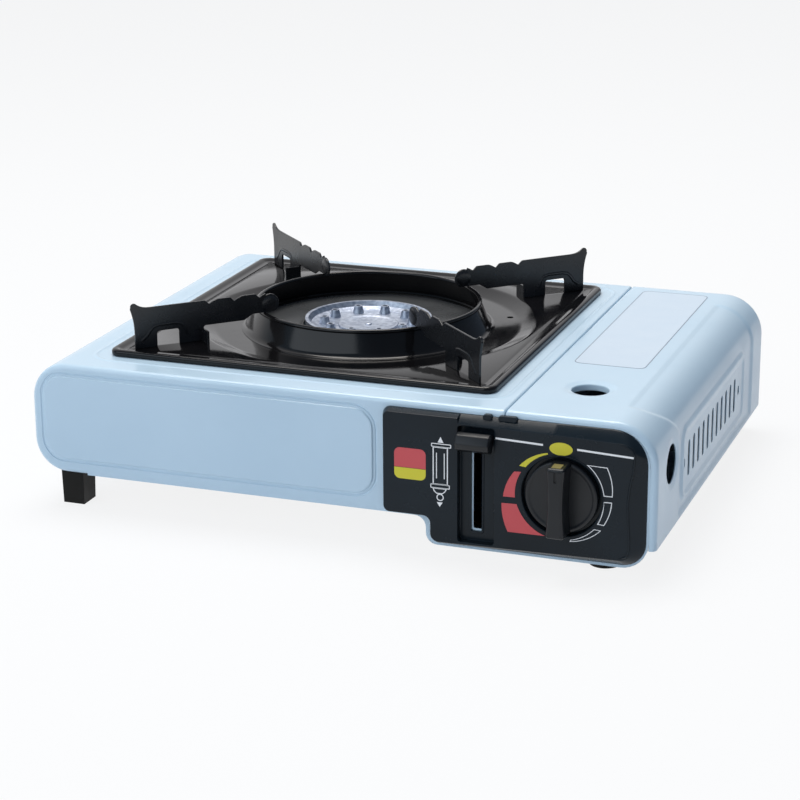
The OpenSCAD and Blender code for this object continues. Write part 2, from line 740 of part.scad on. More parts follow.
// the striker box, with the plunger that the cam on the spindle presses
module piezo_igniter() color("black") {
    block([98, -119, 38], [108, -98, 49]);
    rod_y(-123, -119, 104, 43.5, 2.6);
}

module igniter_lead() color("#303030") sweep(lead_route, 1.1, 8);

function unit(v) = v / norm(v);
function lead_tangent(p, n) = unit(p[min(n + 1, len(p) - 1)] - p[max(n - 1, 0)]);

// a tube along a row of points, square to the route at each of them
module sweep(p, r, sides) {
    rings = [for (n = [0:len(p) - 1])
        let (t = lead_tangent(p, n),
             side = abs(t[2]) > 0.9 ? [0, 1, 0] : [0, 0, 1],
             u = unit(cross(t, side)),
             v = cross(t, u))
        for (k = [0:sides - 1]) p[n] + r * cos(k * 360 / sides) * u + r * sin(k * 360 / sides) * v];
    last = (len(p) - 1) * sides;
    polyhedron(rings, concat(
        [[for (k = [0:sides - 1]) k]],
        [for (n = [0:len(p) - 2], k = [0:sides - 1]) let (a = n * sides, b = (k + 1) % sides)
            [a + b, a + k, a + sides + k, a + sides + b]],
        [[for (k = [0:sides - 1]) last + sides - 1 - k]]));
}

// ---- lever and pusher ----

// an upright that carries the left end of the lever's pin
module lever_bracket() color("silver") difference() {
    union() {
        block([lever_post_x, pivot_y - 8, floor_low + sheet],
              [lever_post_x + plate_t, pivot_y + 8, pivot_z + 7]);
        block([60, pivot_y - 8, floor_low + sheet],
              [lever_post_x + plate_t, pivot_y + 8, floor_low + sheet + plate_t]);
    }
    rod_x(lever_post_x - 1, lever_post_x + 3, pivot_y, pivot_z, lever_pin_r);
}

// the pin with the collars that keep the lever in its place along it
module lever_pin() color("gray") {
    rod_x(lever_post_x, partition_x + sheet / 2, pivot_y, pivot_z, lever_pin_r);
    rod_x(lever_post_x + plate_t, lever_x - 0.2, pivot_y, pivot_z, 4);
    rod_x(lever_x + lever_t + 0.2, partition_x - sheet / 2, pivot_y, pivot_z, 4);
}

// puts the lever, drawn level with its grip towards -Y, into its rest angle
module at_lever(a) {
    translate([0, pivot_y, pivot_z]) rotate([-a, 0, 0]) children();
}

// the tongue at the lever's front, which the grip is pushed on
module lever_tang() {
    block([lever_x, -lever_l, -3], [lever_x + lever_t, tang_y, 3]);
}

module lever_arm() color("silver") difference() {
    at_lever(lever_rest) union() {
        along_x(lever_x, lever_x + lever_t) hull() {
            circle(6.5);
            translate([tang_y - 2, 0]) circle(3.4);
        }
        lever_tang();
        along_x(lever_x, lever_x + lever_t) hull() {
            circle(5);
            translate([0, link_r]) circle(4);
        }
    }
    rod_x(lever_x - 1, lever_x + 4, pivot_y, pivot_z, lever_pin_r + run);
    rod_x(lever_x - 1, lever_x + 4, link_y, link_z, link_pin_r);
}

module lever_knob() color("#15171c") difference() {
    at_lever(lever_rest) translate([recess_x, -lever_l, 0]) intersection() {
        translate([-recess_w / 2 + gap, 0, 0]) rotate([90, 0, 90]) linear_extrude(recess_w - 2 * gap)
            polygon([[-5.6, -2.6], [-5.6, 2.6], [-3.4, 5.4], [2.2, 5.4], [3.4, 4.2],
                     [3.4, -4.2], [2.2, -5.4], [-3.4, -5.4]]);
        translate([0, 0, -8]) linear_extrude(16)
            rounded(-recess_w / 2 + gap, -6, recess_w / 2 - gap, 6, 2);
    }
    at_lever(lever_rest) lever_tang();
}

module lever_link_pin() color("gray") rod_x(lever_x, pusher_x + pusher_t, link_y, link_z, link_pin_r);

// a strip along the partition; its turned end pushes the cartridge into the collar
module pusher_slide() color("silver") difference() {
    union() {
        block([pusher_x, link_y - 6, rivet_z - 7], [pusher_x + pusher_t, push_y + 1.6, rivet_z + 7]);
        block([pusher_x, link_y - 6, link_z - 8], [pusher_x + pusher_t, link_y + 10, rivet_z + 7]);
        block([pusher_x, push_y, 30], [118, push_y + 1.6, rivet_z + 7]);
    }
    along_x(pusher_x - 1, pusher_x + 3)
        rounded(link_y - link_pin_r - 0.2, link_z - 2.2, link_y + link_pin_r + 0.2, link_z + 3.4, 1.6);
    for (y = rivet_spots) along_x(pusher_x - 1, pusher_x + 3)
        rounded(y - 2.2, rivet_z - 2, y + pusher_travel + 2.2, rivet_z + 2, 1.9);
}

module slide_rivets() color("gray") for (y = rivet_spots) {
    rod_x(partition_x - sheet / 2, pusher_x + 1.4, y, rivet_z, rivet_r);
    rod_x(pusher_x + 1.4, pusher_x + 2, y, rivet_z, 3.4);
}

// two saddles that carry the cartridge
module cartridge_cradles() color("silver") for (y = [-52, 52]) difference() {
    union() {
        block([106, y, floor_low + sheet], [147, y + 1.2, 24]);
        block([106, y, floor_low + sheet], [147, y + 12, floor_low + sheet + 1]);
    }
    rod_y(y - 5, y + 20, cartridge_x, cartridge_z, cartridge_d / 2 + 0.2);
}

// ---- knob ----

// puts a piece that is drawn along Z onto the knob's axis, from y towards the front
module at_knob(y) {
    translate([knob_x, y, knob_z]) rotate([90, 0, 0]) children();
}

// the grip from the front: a bar drawn in at its waist
module grip_outline() {
    difference() {
        rounded(-grip_w / 2, -grip_l, grip_w / 2, grip_l, 1.6);
        for (s = [-1, 1]) translate([s * (waist_r + waist_w / 2), 0]) circle(waist_r, $fn = 128);
    }
}

module knob() color("#15171c") difference() {
    union() {
        at_knob(knob_back) rotate_extrude() polygon([
            [0, 0], [knob_r, 0], [knob_r, disc_h - 0.8], [knob_r - 0.8, disc_h], [0, disc_h]]);
        at_knob(knob_back - disc_h + 1) linear_extrude(grip_h + 1) grip_outline();
    }
    at_knob(front_y + 1) cylinder(r = spindle_r, h = panel_proud + 9);
    at_knob(knob_front + 0.6) translate([-0.6, grip_l - 7.5, 0]) cube([1.2, 5.5, 2]);
    at_knob(knob_front) pointer_inlay(1);
}

// the inlay in the upper end of the grip
module pointer_inlay(more) {
    translate([-2.4, grip_l - 0.5, -7.5]) cube([4.8, 0.5 + more, 6]);
}

module knob_pointer() color("khaki") at_knob(knob_front) pointer_inlay(0);

module valve_spindle() color("goldenrod") {
    rod_y(panel_front - 8, regulator_front + 5, knob_x, knob_z, spindle_r);
}

// the cam behind the panel that works the igniter
module igniter_cam() color("white") difference() {
    union() {
        rod_y(front_y + 1.2, front_y + 3.8, knob_x, knob_z, 6.5);
        along_y(front_y + 1.2, front_y + 3.8) translate([knob_x, knob_z]) hull() {
            circle(4);
            rotate(60) translate([7, 0]) circle(2);
        }
    }
    rod_y(front_y, front_y + 5, knob_x, knob_z, spindle_r);
}

// ---- lid ----

// the lid as a solid with its pressed edges; drawn in by i, it is open below and at the seam
module lid_block(i) {
    r = edge_r - i;
    x = half_w - lid_r;
    z = top_z - lid_r;
    open = i > 0 ? 5 : 0;
    along_x(lid_left - open, x) shell_section(z, i, r);
    shell_corner(x, z, lid_r, i, r, 0);
    translate([0, 0, lid_low - open]) linear_extrude(z - lid_low + open)
        difference() {
            translate([x - 1, front_y + i]) square([lid_r + 1 - i, case_d - 2 * i]);
            for (s = [-1, 1]) corner_cut(half_w - i, s * (half_d - i), 1, s, r);
        }
    if (i > 0) along_x(lid_left - open, x) translate([front_y + i, lid_low - open])
        square([case_d - 2 * i, z - lid_low + open]);
}

// the lid as a solid with its sunk shoulder and the raised field on its side, drawn in by i
module lid_form(i) {
    difference() {
        lid_block(i);
        difference() {
            block([crease_x - i, -shoulder_l - i, lid_low + 4], [half_w + 1, shoulder_l + i, top_z + 1]);
            lid_block(i + shoulder_h);
        }
    }
    intersection() {
        lid_block(i);
        along_x(half_w - 5, half_w + 1)
            rounded(side_panel[0] + i, side_panel[1] + i, side_panel[2] - i, side_panel[3] - i,
                    side_panel_r - i);
    }
}

// the lid: a pressed cover with a narrow lip at each end and two ears for the hinge pins
module gas_lid() color("lightsteelblue") difference() {
    lid_form(0);
    difference() {
        lid_form(sheet);
        block([lid_left, -half_d, top_z - 6.7], [lid_left + sheet, half_d, top_z]);
        lid_ear(lid_left);
        lid_ear(hinge_ear_x);
    }
    along_y(-half_d - 1, -half_d + 3) difference() {
        translate([lid_left - 1, 0]) square([half_w - lid_lip - lid_left + 1, panel_top + 0.6]);
        corner_cut(half_w - lid_lip, panel_top + 0.6, 1, 1, lid_r - lid_lip);
    }
    block([lid_left - 1, half_d - 3, -1], [half_w - lid_lip, half_d + 1, lid_back_lip]);
    block([lid_left - 1, -half_d - 1, -1], [half_w - lid_r - 1, half_d + 1, lid_back_lip]);
    block([bracket_x - 0.6, half_d - 2, lid_back_lip - 1], [bracket_x + 1.1, half_d + 1, hinge_z + 2.4]);
    rod_x(lid_left - 1, lid_left + 2, hinge_y, hinge_z, hinge_pin_r + run);
    rod_x(hinge_ear_x - 0.4, hinge_ear_x + 1.6, hinge_y, hinge_z, hinge_pin_r + run);
    translate([lid_hole[0], lid_hole[1], top_z - 3]) cylinder(r = finger_hole_r, h = 6);
    rod_x(half_w - 3, half_w + 1, side_hole[0], side_hole[1], finger_hole_r + 0.2);
    for (n = [-(slot_count - 1) / 2:(slot_count - 1) / 2]) side_slot(n * slot_pitch, louvre_z);
    for (s = [-1, 1]) side_slot(s * end_slot_y, end_slot_z);
}

// an upright slot in the lid's side, at y, between the two heights in z
module side_slot(y, z) {
    along_x(half_w - 3, half_w + 1) rounded(y - louvre_w / 2, z[0], y + louvre_w / 2, z[1], 1.2);
}

module lid_ear(x) {
    block([x, hinge_y - hinge_ear_r, hinge_z], [x + sheet, half_d - 0.5, top_z]);
    rod_x(x, x + sheet, hinge_y, hinge_z, hinge_ear_r);
}

// ---- lift-off top ----

// the enamelled tray: a flat with a round dish, a hole for the burner and a rolled edge
module drip_tray() color("#101010") translate([burner_x, burner_y, 0]) {
    hw = tray_w / 2;
    hd = tray_d / 2;
    difference() {
        union() {
            translate([0, 0, plate_z]) linear_extrude(sheet) difference() {
                rounded(-hw + bead_r, -hd + bead_r, hw - bead_r, hd - bead_r, tray_r - bead_r);
                circle(dish_r + 1);
            }
            rotate_extrude() polygon([
                [tray_hole_r, dish_z], [dish_floor_r, dish_z], [dish_r, plate_z], [dish_r + 2, plate_z],
                [dish_r + 2, plate_z + sheet], [dish_r - 0.3, plate_z + sheet],
                [dish_floor_r - 0.3, dish_z + sheet], [tray_hole_r, dish_z + sheet]]);
            bead_frame(hw, hd);
        }
        translate([electrode_x, electrode_y, dish_z - 1]) cylinder(r = 5, h = 4);
        translate([tray_hole[0], tray_hole[1], plate_z - 6]) cylinder(r = 2, h = 12);
    }
}

// the rolled edge of the tray
module bead_frame(hw, hd) {
    z = top_z + 0.2 + bead_r;
    for (s = [-1, 1]) {
        translate([-hw + tray_r, s * (hd - bead_r), z]) rotate([0, 90, 0])
            cylinder(r = bead_r, h = 2 * (hw - tray_r));
        translate([s * (hw - bead_r), hd - tray_r, z]) rotate([90, 0, 0])
            cylinder(r = bead_r, h = 2 * (hd - tray_r));
        for (t = [-1, 1]) translate([s * (hw - tray_r), t * (hd - tray_r), z])
            rotate([0, 0, s > 0 ? (t > 0 ? 0 : 270) : (t > 0 ? 90 : 180)])
                rotate_extrude(angle = 90) translate([tray_r - bead_r, 0]) circle(bead_r, $fn = 24);
    }
}

// a thin cone that leans in round the burner, rolled at its top
module wind_ring() color("#101010") translate([burner_x, burner_y, 0]) rotate_extrude() {
    polygon([
        [ring_r + 5, ring_low], [ring_r + 6, ring_low], [ring_r + 0.6, ring_top - 1.2],
        [ring_r - 0.6, ring_top - 1.2], [ring_r + 5, ring_low + 0.8], [ring_r + 2, ring_low + 0.8],
        [ring_r + 2, ring_low]]);
    translate([ring_r, ring_top - 1.3]) circle(1.3, $fn = 24);
}

// how far a pot notch sinks the top edge at a distance from its middle
function dip(d) = abs(d) < notch_w / 2 ? notch_h / 2 * (1 + cos(360 * d / notch_w)) : 0;
function support_top(r) = rest_z - dip(r - notches[0]) - dip(r - notches[1]) - dip(r - notches[2]);
// the points of an arc, and a row of points in the opposite order
function turned(p) = [for (n = [len(p) - 1:-1:0]) p[n]];
function arc_of(x, y, r, from, to, steps) =
    [for (n = [0:steps]) let (a = from + (to - from) * n / steps) [x + r * cos(a), y + r * sin(a)]];

// outline of a pan support: distance from the burner, and height
module support_outline() {
    top = [for (r = [60:1.25:100]) [r, support_top(r)]];
    horn = concat(arc_of(130, rest_z + 16, 16, -90, -65, 4),
                  arc_of(support_r - 1.3, rest_z + 1.7, 1.3, 80, -10, 5));
    back = arc_of(support_r + 39, 94, 40, 165, 180, 5);
    difference() {
        union() {
            polygon(concat(
                [[66, ring_top], [69, ring_top], [74, 91.4], [97.5, 91.4], [97.5, support_foot],
                 [111.5, support_foot], [111.5, 91.7], [124, 91.7], [124, support_foot],
                 [support_r - 1, support_foot]],
                turned(back), turned(horn), turned(top), [[60, ring_top]]));
            translate([59, 99]) circle(5.4);
        }
        translate([58, 80]) square([8, ring_top - 80]);
    }
}

// an upright blade with a foot turned to one side
module pan_support(a) color("#101010") translate([burner_x, burner_y, 0]) rotate([0, 0, a]) {
    translate([0, support_t / 2, 0]) rotate([90, 0, 0]) linear_extrude(support_t) support_outline();
    block([97.5, 0, support_foot], [98.7, 9, support_foot + 7]);
}

module pan_support_1() pan_support(45);
module pan_support_2() pan_support(135);
module pan_support_3() pan_support(225);
module pan_support_4() pan_support(315);

placed() top_case();
placed() base_tray();
placed() partition_plate();
placed() control_panel();
placed() panel_screws();
placed() regulator_body();
placed() diaphragm_cover();
placed() regulator_bracket();
placed() docking_collar();
placed() nozzle_seal();
placed() gas_tube();
placed() jet_holder();
placed() mixing_tube();
placed() burner_head();
placed() burner_cap();
placed() burner_bracket();
placed() electrode();
placed() electrode_wire();
placed() igniter_lead();
placed() piezo_igniter();
placed() lever_bracket();
placed() lever_pin();
placed() slide_rivets();
placed() cartridge_cradles();
placed() foot_front_left();
placed() foot_rear_left();
placed() foot_front_right();
placed() foot_rear_right();
placed() base_screws();
placed() knob();
placed() knob_pointer();
placed() valve_spindle();
placed() igniter_cam();
placed() lever_arm();
placed() lever_knob();
placed() lever_link_pin();
placed() pusher_slide();
placed() gas_lid();
placed() lid_hinge_pins();
placed() lid_bracket();
placed() drip_tray();
placed() wind_ring();
placed() pan_support_1();
placed() pan_support_2();
placed() pan_support_3();
placed() pan_support_4();
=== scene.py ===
import json
import math
import bpy
import bmesh
from mathutils import Matrix, Vector


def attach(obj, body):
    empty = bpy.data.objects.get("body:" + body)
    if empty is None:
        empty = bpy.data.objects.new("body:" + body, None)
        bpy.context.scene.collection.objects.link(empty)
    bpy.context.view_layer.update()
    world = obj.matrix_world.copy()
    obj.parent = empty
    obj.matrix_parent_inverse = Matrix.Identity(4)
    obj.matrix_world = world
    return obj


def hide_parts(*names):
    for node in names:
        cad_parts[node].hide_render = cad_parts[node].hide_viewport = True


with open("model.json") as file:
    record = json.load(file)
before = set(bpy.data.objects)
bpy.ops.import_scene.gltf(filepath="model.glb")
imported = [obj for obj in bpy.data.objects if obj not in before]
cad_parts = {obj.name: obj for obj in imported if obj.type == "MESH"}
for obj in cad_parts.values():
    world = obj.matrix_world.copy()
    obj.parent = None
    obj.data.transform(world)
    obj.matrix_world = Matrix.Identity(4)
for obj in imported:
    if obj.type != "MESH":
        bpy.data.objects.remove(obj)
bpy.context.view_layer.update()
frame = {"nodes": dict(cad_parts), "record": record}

nodes = frame["nodes"]

# ---- frame: case-centred millimetres to the shared frame in metres ----
MM = 0.001
FRAME_Y = 9.0


def at(x, y, z):
    return Vector((x * MM, (y + FRAME_Y) * MM, z * MM))


def add(name, data):
    obj = bpy.data.objects.new(name, data)
    bpy.context.scene.collection.objects.link(obj)
    return obj


# ---- camera, fitted to the photo's straight edges ----
CAM_AZ = math.radians(19.89)
CAM_EL = math.radians(17.77)
CAM_ROLL = math.radians(-0.33)
CAM_PLACE = (418.14, -1178.15, 439.28)
FOCAL_PX = 2353.58
IMAGE_PX = 800
SENSOR_MM = 36


def make_camera():
    cam = add("camera", bpy.data.cameras.new("camera"))
    cam.data.sensor_width = SENSOR_MM
    cam.data.lens = SENSOR_MM * FOCAL_PX / IMAGE_PX
    look = Vector((-math.sin(CAM_AZ) * math.cos(CAM_EL), math.cos(CAM_AZ) * math.cos(CAM_EL),
                   -math.sin(CAM_EL)))
    right = Vector((math.cos(CAM_AZ), math.sin(CAM_AZ), 0))
    up = right.cross(look)
    c, s = math.cos(CAM_ROLL), math.sin(CAM_ROLL)
    right, up = c * right + s * up, -s * right + c * up
    cam.matrix_world = Matrix.Translation(at(*CAM_PLACE)) @ Matrix(
        (right, up, -look)).transposed().to_4x4()
    cam.data.clip_start = 0.05
    cam.data.clip_end = 20
    bpy.context.scene.camera = cam


make_camera()


# ---- materials ----
NOISE_LOW, NOISE_HIGH = 0.3, 0.7    # the part of a noise that a tint or a roughness is spread over


def srgb(r, g, b):
    return tuple(((c / 255 + 0.055) / 1.055) ** 2.4 if c > 10 else c / 255 / 12.92
                 for c in (r, g, b)) + (1,)


class Shade:
    """A procedural material: nodes in object space around one Principled shader."""

    def __init__(self, name, color, rough, metallic=0.0, coat=0.0, coat_rough=0.05, specular=0.5):
        self.mat = bpy.data.materials.new(name)
        self.mat.use_nodes = True
        self.tree = self.mat.node_tree
        self.shader = self.tree.nodes["Principled BSDF"]
        self.shader.inputs["Base Color"].default_value = color
        self.shader.inputs["Roughness"].default_value = rough
        self.shader.inputs["Metallic"].default_value = metallic
        self.shader.inputs["Specular IOR Level"].default_value = specular
        if coat:
            self.shader.inputs["Coat Weight"].default_value = coat
            self.shader.inputs["Coat Roughness"].default_value = coat_rough
        self.place = self.tree.nodes.new("ShaderNodeTexCoord").outputs["Object"]
        self.normal = None

    def noise(self, scale, detail, stretch=None):
        node = self.tree.nodes.new("ShaderNodeTexNoise")
        node.inputs["Scale"].default_value = scale
        node.inputs["Detail"].default_value = detail
        source = self.place
        if stretch:
            mapping = self.tree.nodes.new("ShaderNodeMapping")
            mapping.inputs["Scale"].default_value = stretch
            self.tree.links.new(source, mapping.inputs["Vector"])
            source = mapping.outputs["Vector"]
        self.tree.links.new(source, node.inputs["Vector"])
        return node.outputs["Fac"]

    def tint(self, value, a, b):
        ramp = self.tree.nodes.new("ShaderNodeValToRGB")
        for stop, place, color in zip(ramp.color_ramp.elements, (NOISE_LOW, NOISE_HIGH), (a, b)):
            stop.position = place
            stop.color = color
        self.tree.links.new(value, ramp.inputs["Fac"])
        self.tree.links.new(ramp.outputs["Color"], self.shader.inputs["Base Color"])

    def rough_by(self, value, low, high):
        node = self.tree.nodes.new("ShaderNodeMapRange")
        node.inputs["From Min"].default_value = NOISE_LOW
        node.inputs["From Max"].default_value = NOISE_HIGH
        node.inputs["To Min"].default_value = low
        node.inputs["To Max"].default_value = high
        self.tree.links.new(value, node.inputs["Value"])
        self.tree.links.new(node.outputs["Result"], self.shader.inputs["Roughness"])

    def bump(self, value, distance, strength):
        node = self.tree.nodes.new("ShaderNodeBump")
        node.inputs["Distance"].default_value = distance
        node.inputs["Strength"].default_value = strength
        self.tree.links.new(value, node.inputs["Height"])
        if self.normal:
            self.tree.links.new(self.normal, node.inputs["Normal"])
        self.normal = node.outputs["Normal"]
        self.tree.links.new(self.normal, self.shader.inputs["Normal"])


def paint_blue():
    m = Shade("paint_blue", srgb(182, 206, 225), 0.34, coat=0.35, coat_rough=0.14)
    m.tint(m.noise(9, 4), srgb(177, 203, 222), srgb(186, 211, 229))
    m.rough_by(m.noise(40, 3), 0.32, 0.42)
    m.bump(m.noise(620, 2), 0.00004, 0.5)
    m.bump(m.noise(70, 2), 0.00008, 0.35)
    return m.mat


def enamel():
    m = Shade("black_enamel", srgb(14, 14, 16), 0.08, specular=0.32)
    m.tint(m.noise(30, 3), srgb(9, 9, 11), srgb(19, 18, 19))
    m.rough_by(m.noise(55, 4), 0.09, 0.17)
    m.bump(m.noise(90, 3), 0.0001, 0.4)
    m.bump(m.noise(800, 2), 0.00002, 0.3)
    return m.mat


def satin_plastic(name, dark, light, rough=(0.3, 0.42), grain=1300, specular=0.5):
    m = Shade(name, dark, 0.36, specular=specular)
    m.tint(m.noise(16, 3), dark, light)
    m.rough_by(m.noise(60, 3), *rough)
    m.bump(m.noise(grain, 2), 0.00003, 0.5)
    return m.mat


def brushed(name, dark, light, rough=(0.25, 0.4), stretch=(1, 30, 30)):
    m = Shade(name, light, 0.3, metallic=1.0)
    m.tint(m.noise(60, 4, stretch=stretch), dark, light)
    m.rough_by(m.noise(90, 4, stretch=stretch), *rough)
    m.bump(m.noise(300, 2, stretch=stretch), 0.00002, 0.4)
    return m.mat


def galvanised():
    m = Shade("galvanised_sheet", srgb(165, 170, 175), 0.38, metallic=1.0)
    cells = m.tree.nodes.new("ShaderNodeTexVoronoi")
    cells.inputs["Scale"].default_value = 420
    m.tree.links.new(m.place, cells.inputs["Vector"])
    m.tint(cells.outputs["Color"], srgb(160, 165, 170), srgb(182, 186, 190))
    m.rough_by(cells.outputs["Color"], 0.34, 0.46)
    m.bump(m.noise(500, 2), 0.00003, 0.3)
    return m.mat


def cast_aluminium():
    m = Shade("cast_aluminium", srgb(200, 202, 210), 0.42, metallic=1.0)
    m.tint(m.noise(420, 4), srgb(146, 155, 172), srgb(200, 207, 219))
    m.rough_by(m.noise(500, 4), 0.34, 0.52)
    m.bump(m.noise(1500, 3), 0.00012, 0.7)
    return m.mat


def plain(name, color, rough, metallic=0.0, grain=500):
    m = Shade(name, color, rough, metallic)
    m.rough_by(m.noise(80, 3), rough - 0.05, rough + 0.08)
    m.bump(m.noise(grain, 2), 0.00003, 0.4)
    return m.mat


BLUE = paint_blue()
ENAMEL = enamel()
PANEL = satin_plastic("panel_plastic", srgb(14, 22, 29), srgb(22, 33, 41), rough=(0.2, 0.3),
                      specular=0.2)
DISH = satin_plastic("dish_enamel", srgb(64, 66, 68), srgb(76, 78, 80), rough=(0.25, 0.35),
                     grain=700)
SATIN = satin_plastic("satin_enamel", srgb(17, 19, 22), srgb(27, 29, 33), rough=(0.22, 0.32),
                      grain=700)
KNOB = satin_plastic("knob_plastic", srgb(16, 19, 23), srgb(24, 28, 33), specular=0.35)
FOOT = satin_plastic("foot_plastic", srgb(11, 11, 10), srgb(18, 17, 15), rough=(0.45, 0.6),
                     specular=0.2)
GALV = galvanised()
CAST = cast_aluminium()
STEEL = brushed("zinc_steel", srgb(150, 150, 152), srgb(200, 200, 204))
BURNER_STEEL = brushed("burner_steel", srgb(160, 163, 172), srgb(205, 208, 216))
BRASS = plain("brass", srgb(190, 150, 80), 0.3, metallic=1.0)
RUBBER = plain("rubber", srgb(25, 25, 25), 0.7)
CERAMIC = plain("ceramic", srgb(225, 222, 212), 0.25)
YELLOW = plain("pointer_yellow", srgb(122, 112, 66), 0.5)
LEAD = plain("lead_sleeve", srgb(38, 38, 40), 0.5)
ZINC = brushed("yellow_zinc", srgb(120, 82, 42), srgb(176, 128, 70), rough=(0.3, 0.5))
PRINT_RED = plain("print_red", srgb(196, 74, 80), 0.42, grain=900)
PRINT_YELLOW = plain("print_yellow", srgb(206, 198, 48), 0.42, grain=900)
PRINT_WHITE = plain("print_white", srgb(232, 234, 236), 0.42, grain=900)
LABEL = plain("blank_label", srgb(194, 210, 225), 0.4, grain=700)
LABEL_EDGE = plain("label_border", srgb(120, 134, 152), 0.4, grain=700)

BY_SLOT = {
    "painted_steel": BLUE, "panel_plastic": PANEL, "pointer_inlay": YELLOW, "black_enamel": ENAMEL,
    "foot_plastic": FOOT, "cast_aluminium": CAST, "brass": BRASS, "rubber_seal": RUBBER,
    "igniter_plastic": LEAD, "ceramic": CERAMIC, "fastener_steel": STEEL, "galvanised_steel": GALV,
    "burner_steel": BURNER_STEEL,
}


def dress(obj, material):
    obj.data.materials.clear()
    obj.data.materials.append(material)
    for poly in obj.data.polygons:
        poly.material_index = 0


for part in frame["record"]["subparts"]:
    dress(nodes[part["node"]], BY_SLOT[part["material_slot"]])
for name in ("knob", "lever_knob"):
    dress(nodes[name], KNOB)
for name in ("lever_arm", "lever_bracket"):
    dress(nodes[name], ZINC)


# ---- outlines, as lists of (x, z) or (x, y) in millimetres ----
def arc(cx, cz, r, a0, a1, n=8):
    return [(cx + r * math.cos(math.radians(a0 + (a1 - a0) * k / n)),
             cz + r * math.sin(math.radians(a0 + (a1 - a0) * k / n))) for k in range(n + 1)]


def rounded(x0, z0, x1, z1, r, n=8):
    return (arc(x1 - r, z0 + r, r, -90, 0, n) + arc(x1 - r, z1 - r, r, 0, 90, n)
            + arc(x0 + r, z1 - r, r, 90, 180, n) + arc(x0 + r, z0 + r, r, 180, 270, n))


def grown(box, d, n=8):
    """The rounded rectangle box = (x0, z0, x1, z1, r), moved outwards by d."""
    x0, z0, x1, z1, r = box
    return rounded(x0 - d, z0 - d, x1 + d, z1 + d, r + d, n)


def circle(cx, cz, r, n=64):
    return arc(cx, cz, r, 0, 360 * (n - 1) / n, n - 1)


def inset(points, d, closed=True):
    """The outline moved to its left by d, which is inwards when it runs anticlockwise."""
    out = []
    count = len(points)
    for k, (x, z) in enumerate(points):
        before = points[k - 1] if closed or k else points[k]
        after = points[(k + 1) % count] if closed or k < count - 1 else points[k]
        px, pz = points[k] if before == points[k] else before
        d1 = Vector((x - px, z - pz))
        d2 = Vector((after[0] - x, after[1] - z))
        if d1.length < 1e-6:
            d1 = d2
        if d2.length < 1e-6:
            d2 = d1
        n1 = Vector((-d1.y, d1.x)).normalized()
        n2 = Vector((-d2.y, d2.x)).normalized()
        mid = (n1 + n2).normalized()
        scale = d / max(0.5, mid.dot(n1))
        out.append((x + mid.x * scale, z + mid.y * scale))
    return out


def ease(value, low, high):
    """0 up to low, 1 from high on, and smooth between them."""
    t = min(1.0, max(0.0, (value - low) / (high - low)))
    return t * t * (3 - 2 * t)


def upright(x, z, y):
    """A point of a front view, at depth y."""
    return at(x, y, z)


WELD = 0.01 * MM    # points nearer than this become one


class Sheet:
    """A mesh made of rows of points, bridged or filled."""

    def __init__(self):
        self.bm = bmesh.new()

    def row(self, points):
        return [self.bm.verts.new(p) for p in points]

    def front(self, outline, y):
        return self.row(upright(x, z, y) for x, z in outline)

    def level(self, outline, z):
        return self.row(at(x, y, z) for x, y in outline)

    def bridge(self, *rows, closed=True):
        for a, b in zip(rows, rows[1:]):
            for k in range(len(a) if closed else len(a) - 1):
                j = (k + 1) % len(a)
                self.bm.faces.new((a[k], a[j], b[j], b[k]))

    def fill(self, *loops):
        """Fills the flat region between one outer loop and any holes."""
        edges = []
        for loop in loops:
            for k in range(len(loop)):
                pair = (loop[k], loop[(k + 1) % len(loop)])
                edges.append(self.bm.edges.get(pair) or self.bm.edges.new(pair))
        bmesh.ops.triangle_fill(self.bm, use_beauty=True, edges=edges)

    def cap(self, loop):
        self.bm.faces.new(loop)

    def bar(self, *rows):
        """A closed solid through these rows."""
        self.bridge(*rows)
        self.cap(rows[0])
        self.cap(rows[-1])

    def mesh(self, name):
        bmesh.ops.recalc_face_normals(self.bm, faces=self.bm.faces)
        mesh = bpy.data.meshes.new(name)
        self.bm.to_mesh(mesh)
        self.bm.free()
        return mesh

    def done(self, name, material, body="root", replaced=(), thick=0.0, sharp=32):
        bmesh.ops.remove_doubles(self.bm, verts=self.bm.verts, dist=WELD)
        return place_mesh(name, self.mesh(name), material, body, replaced, thick, sharp)


def place_mesh(name, mesh, material, body="root", replaced=(), thick=0.0, sharp=32):
    mesh.shade_smooth()
    mesh.set_sharp_from_angle(angle=math.radians(sharp))
    mesh.materials.append(material)
    obj = add(name, mesh)
    if thick:
        shell = obj.modifiers.new("sheet", "SOLIDIFY")
        shell.thickness = thick * MM
        shell.offset = -1
    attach(obj, body)
    if replaced:
        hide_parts(*replaced)
    return obj


def keep_flats(obj):
    """The large flats keep their own normals beside the rounded edges."""
    obj.modifiers.new("flats", "WEIGHTED_NORMAL").keep_sharp = True


def rope(sheet, points, r, flat, place):
    """A bead of oval section along a line in a plate's plane, thinner at both ends."""
    rows = []
    last = len(points) - 1
    for k, (u, z) in enumerate(points):
        a, b = points[max(k - 1, 0)], points[min(k + 1, last)]
        d = Vector((b[0] - a[0], b[1] - a[1])).normalized()
        q = r if 0 < k < last else r * 0.35
        rows.append(sheet.row(place(u - d.y * across, flat * out / r, z + d.x * across)
                              for across, out in circle(0, 0, q, 10)))
    sheet.bar(*rows)


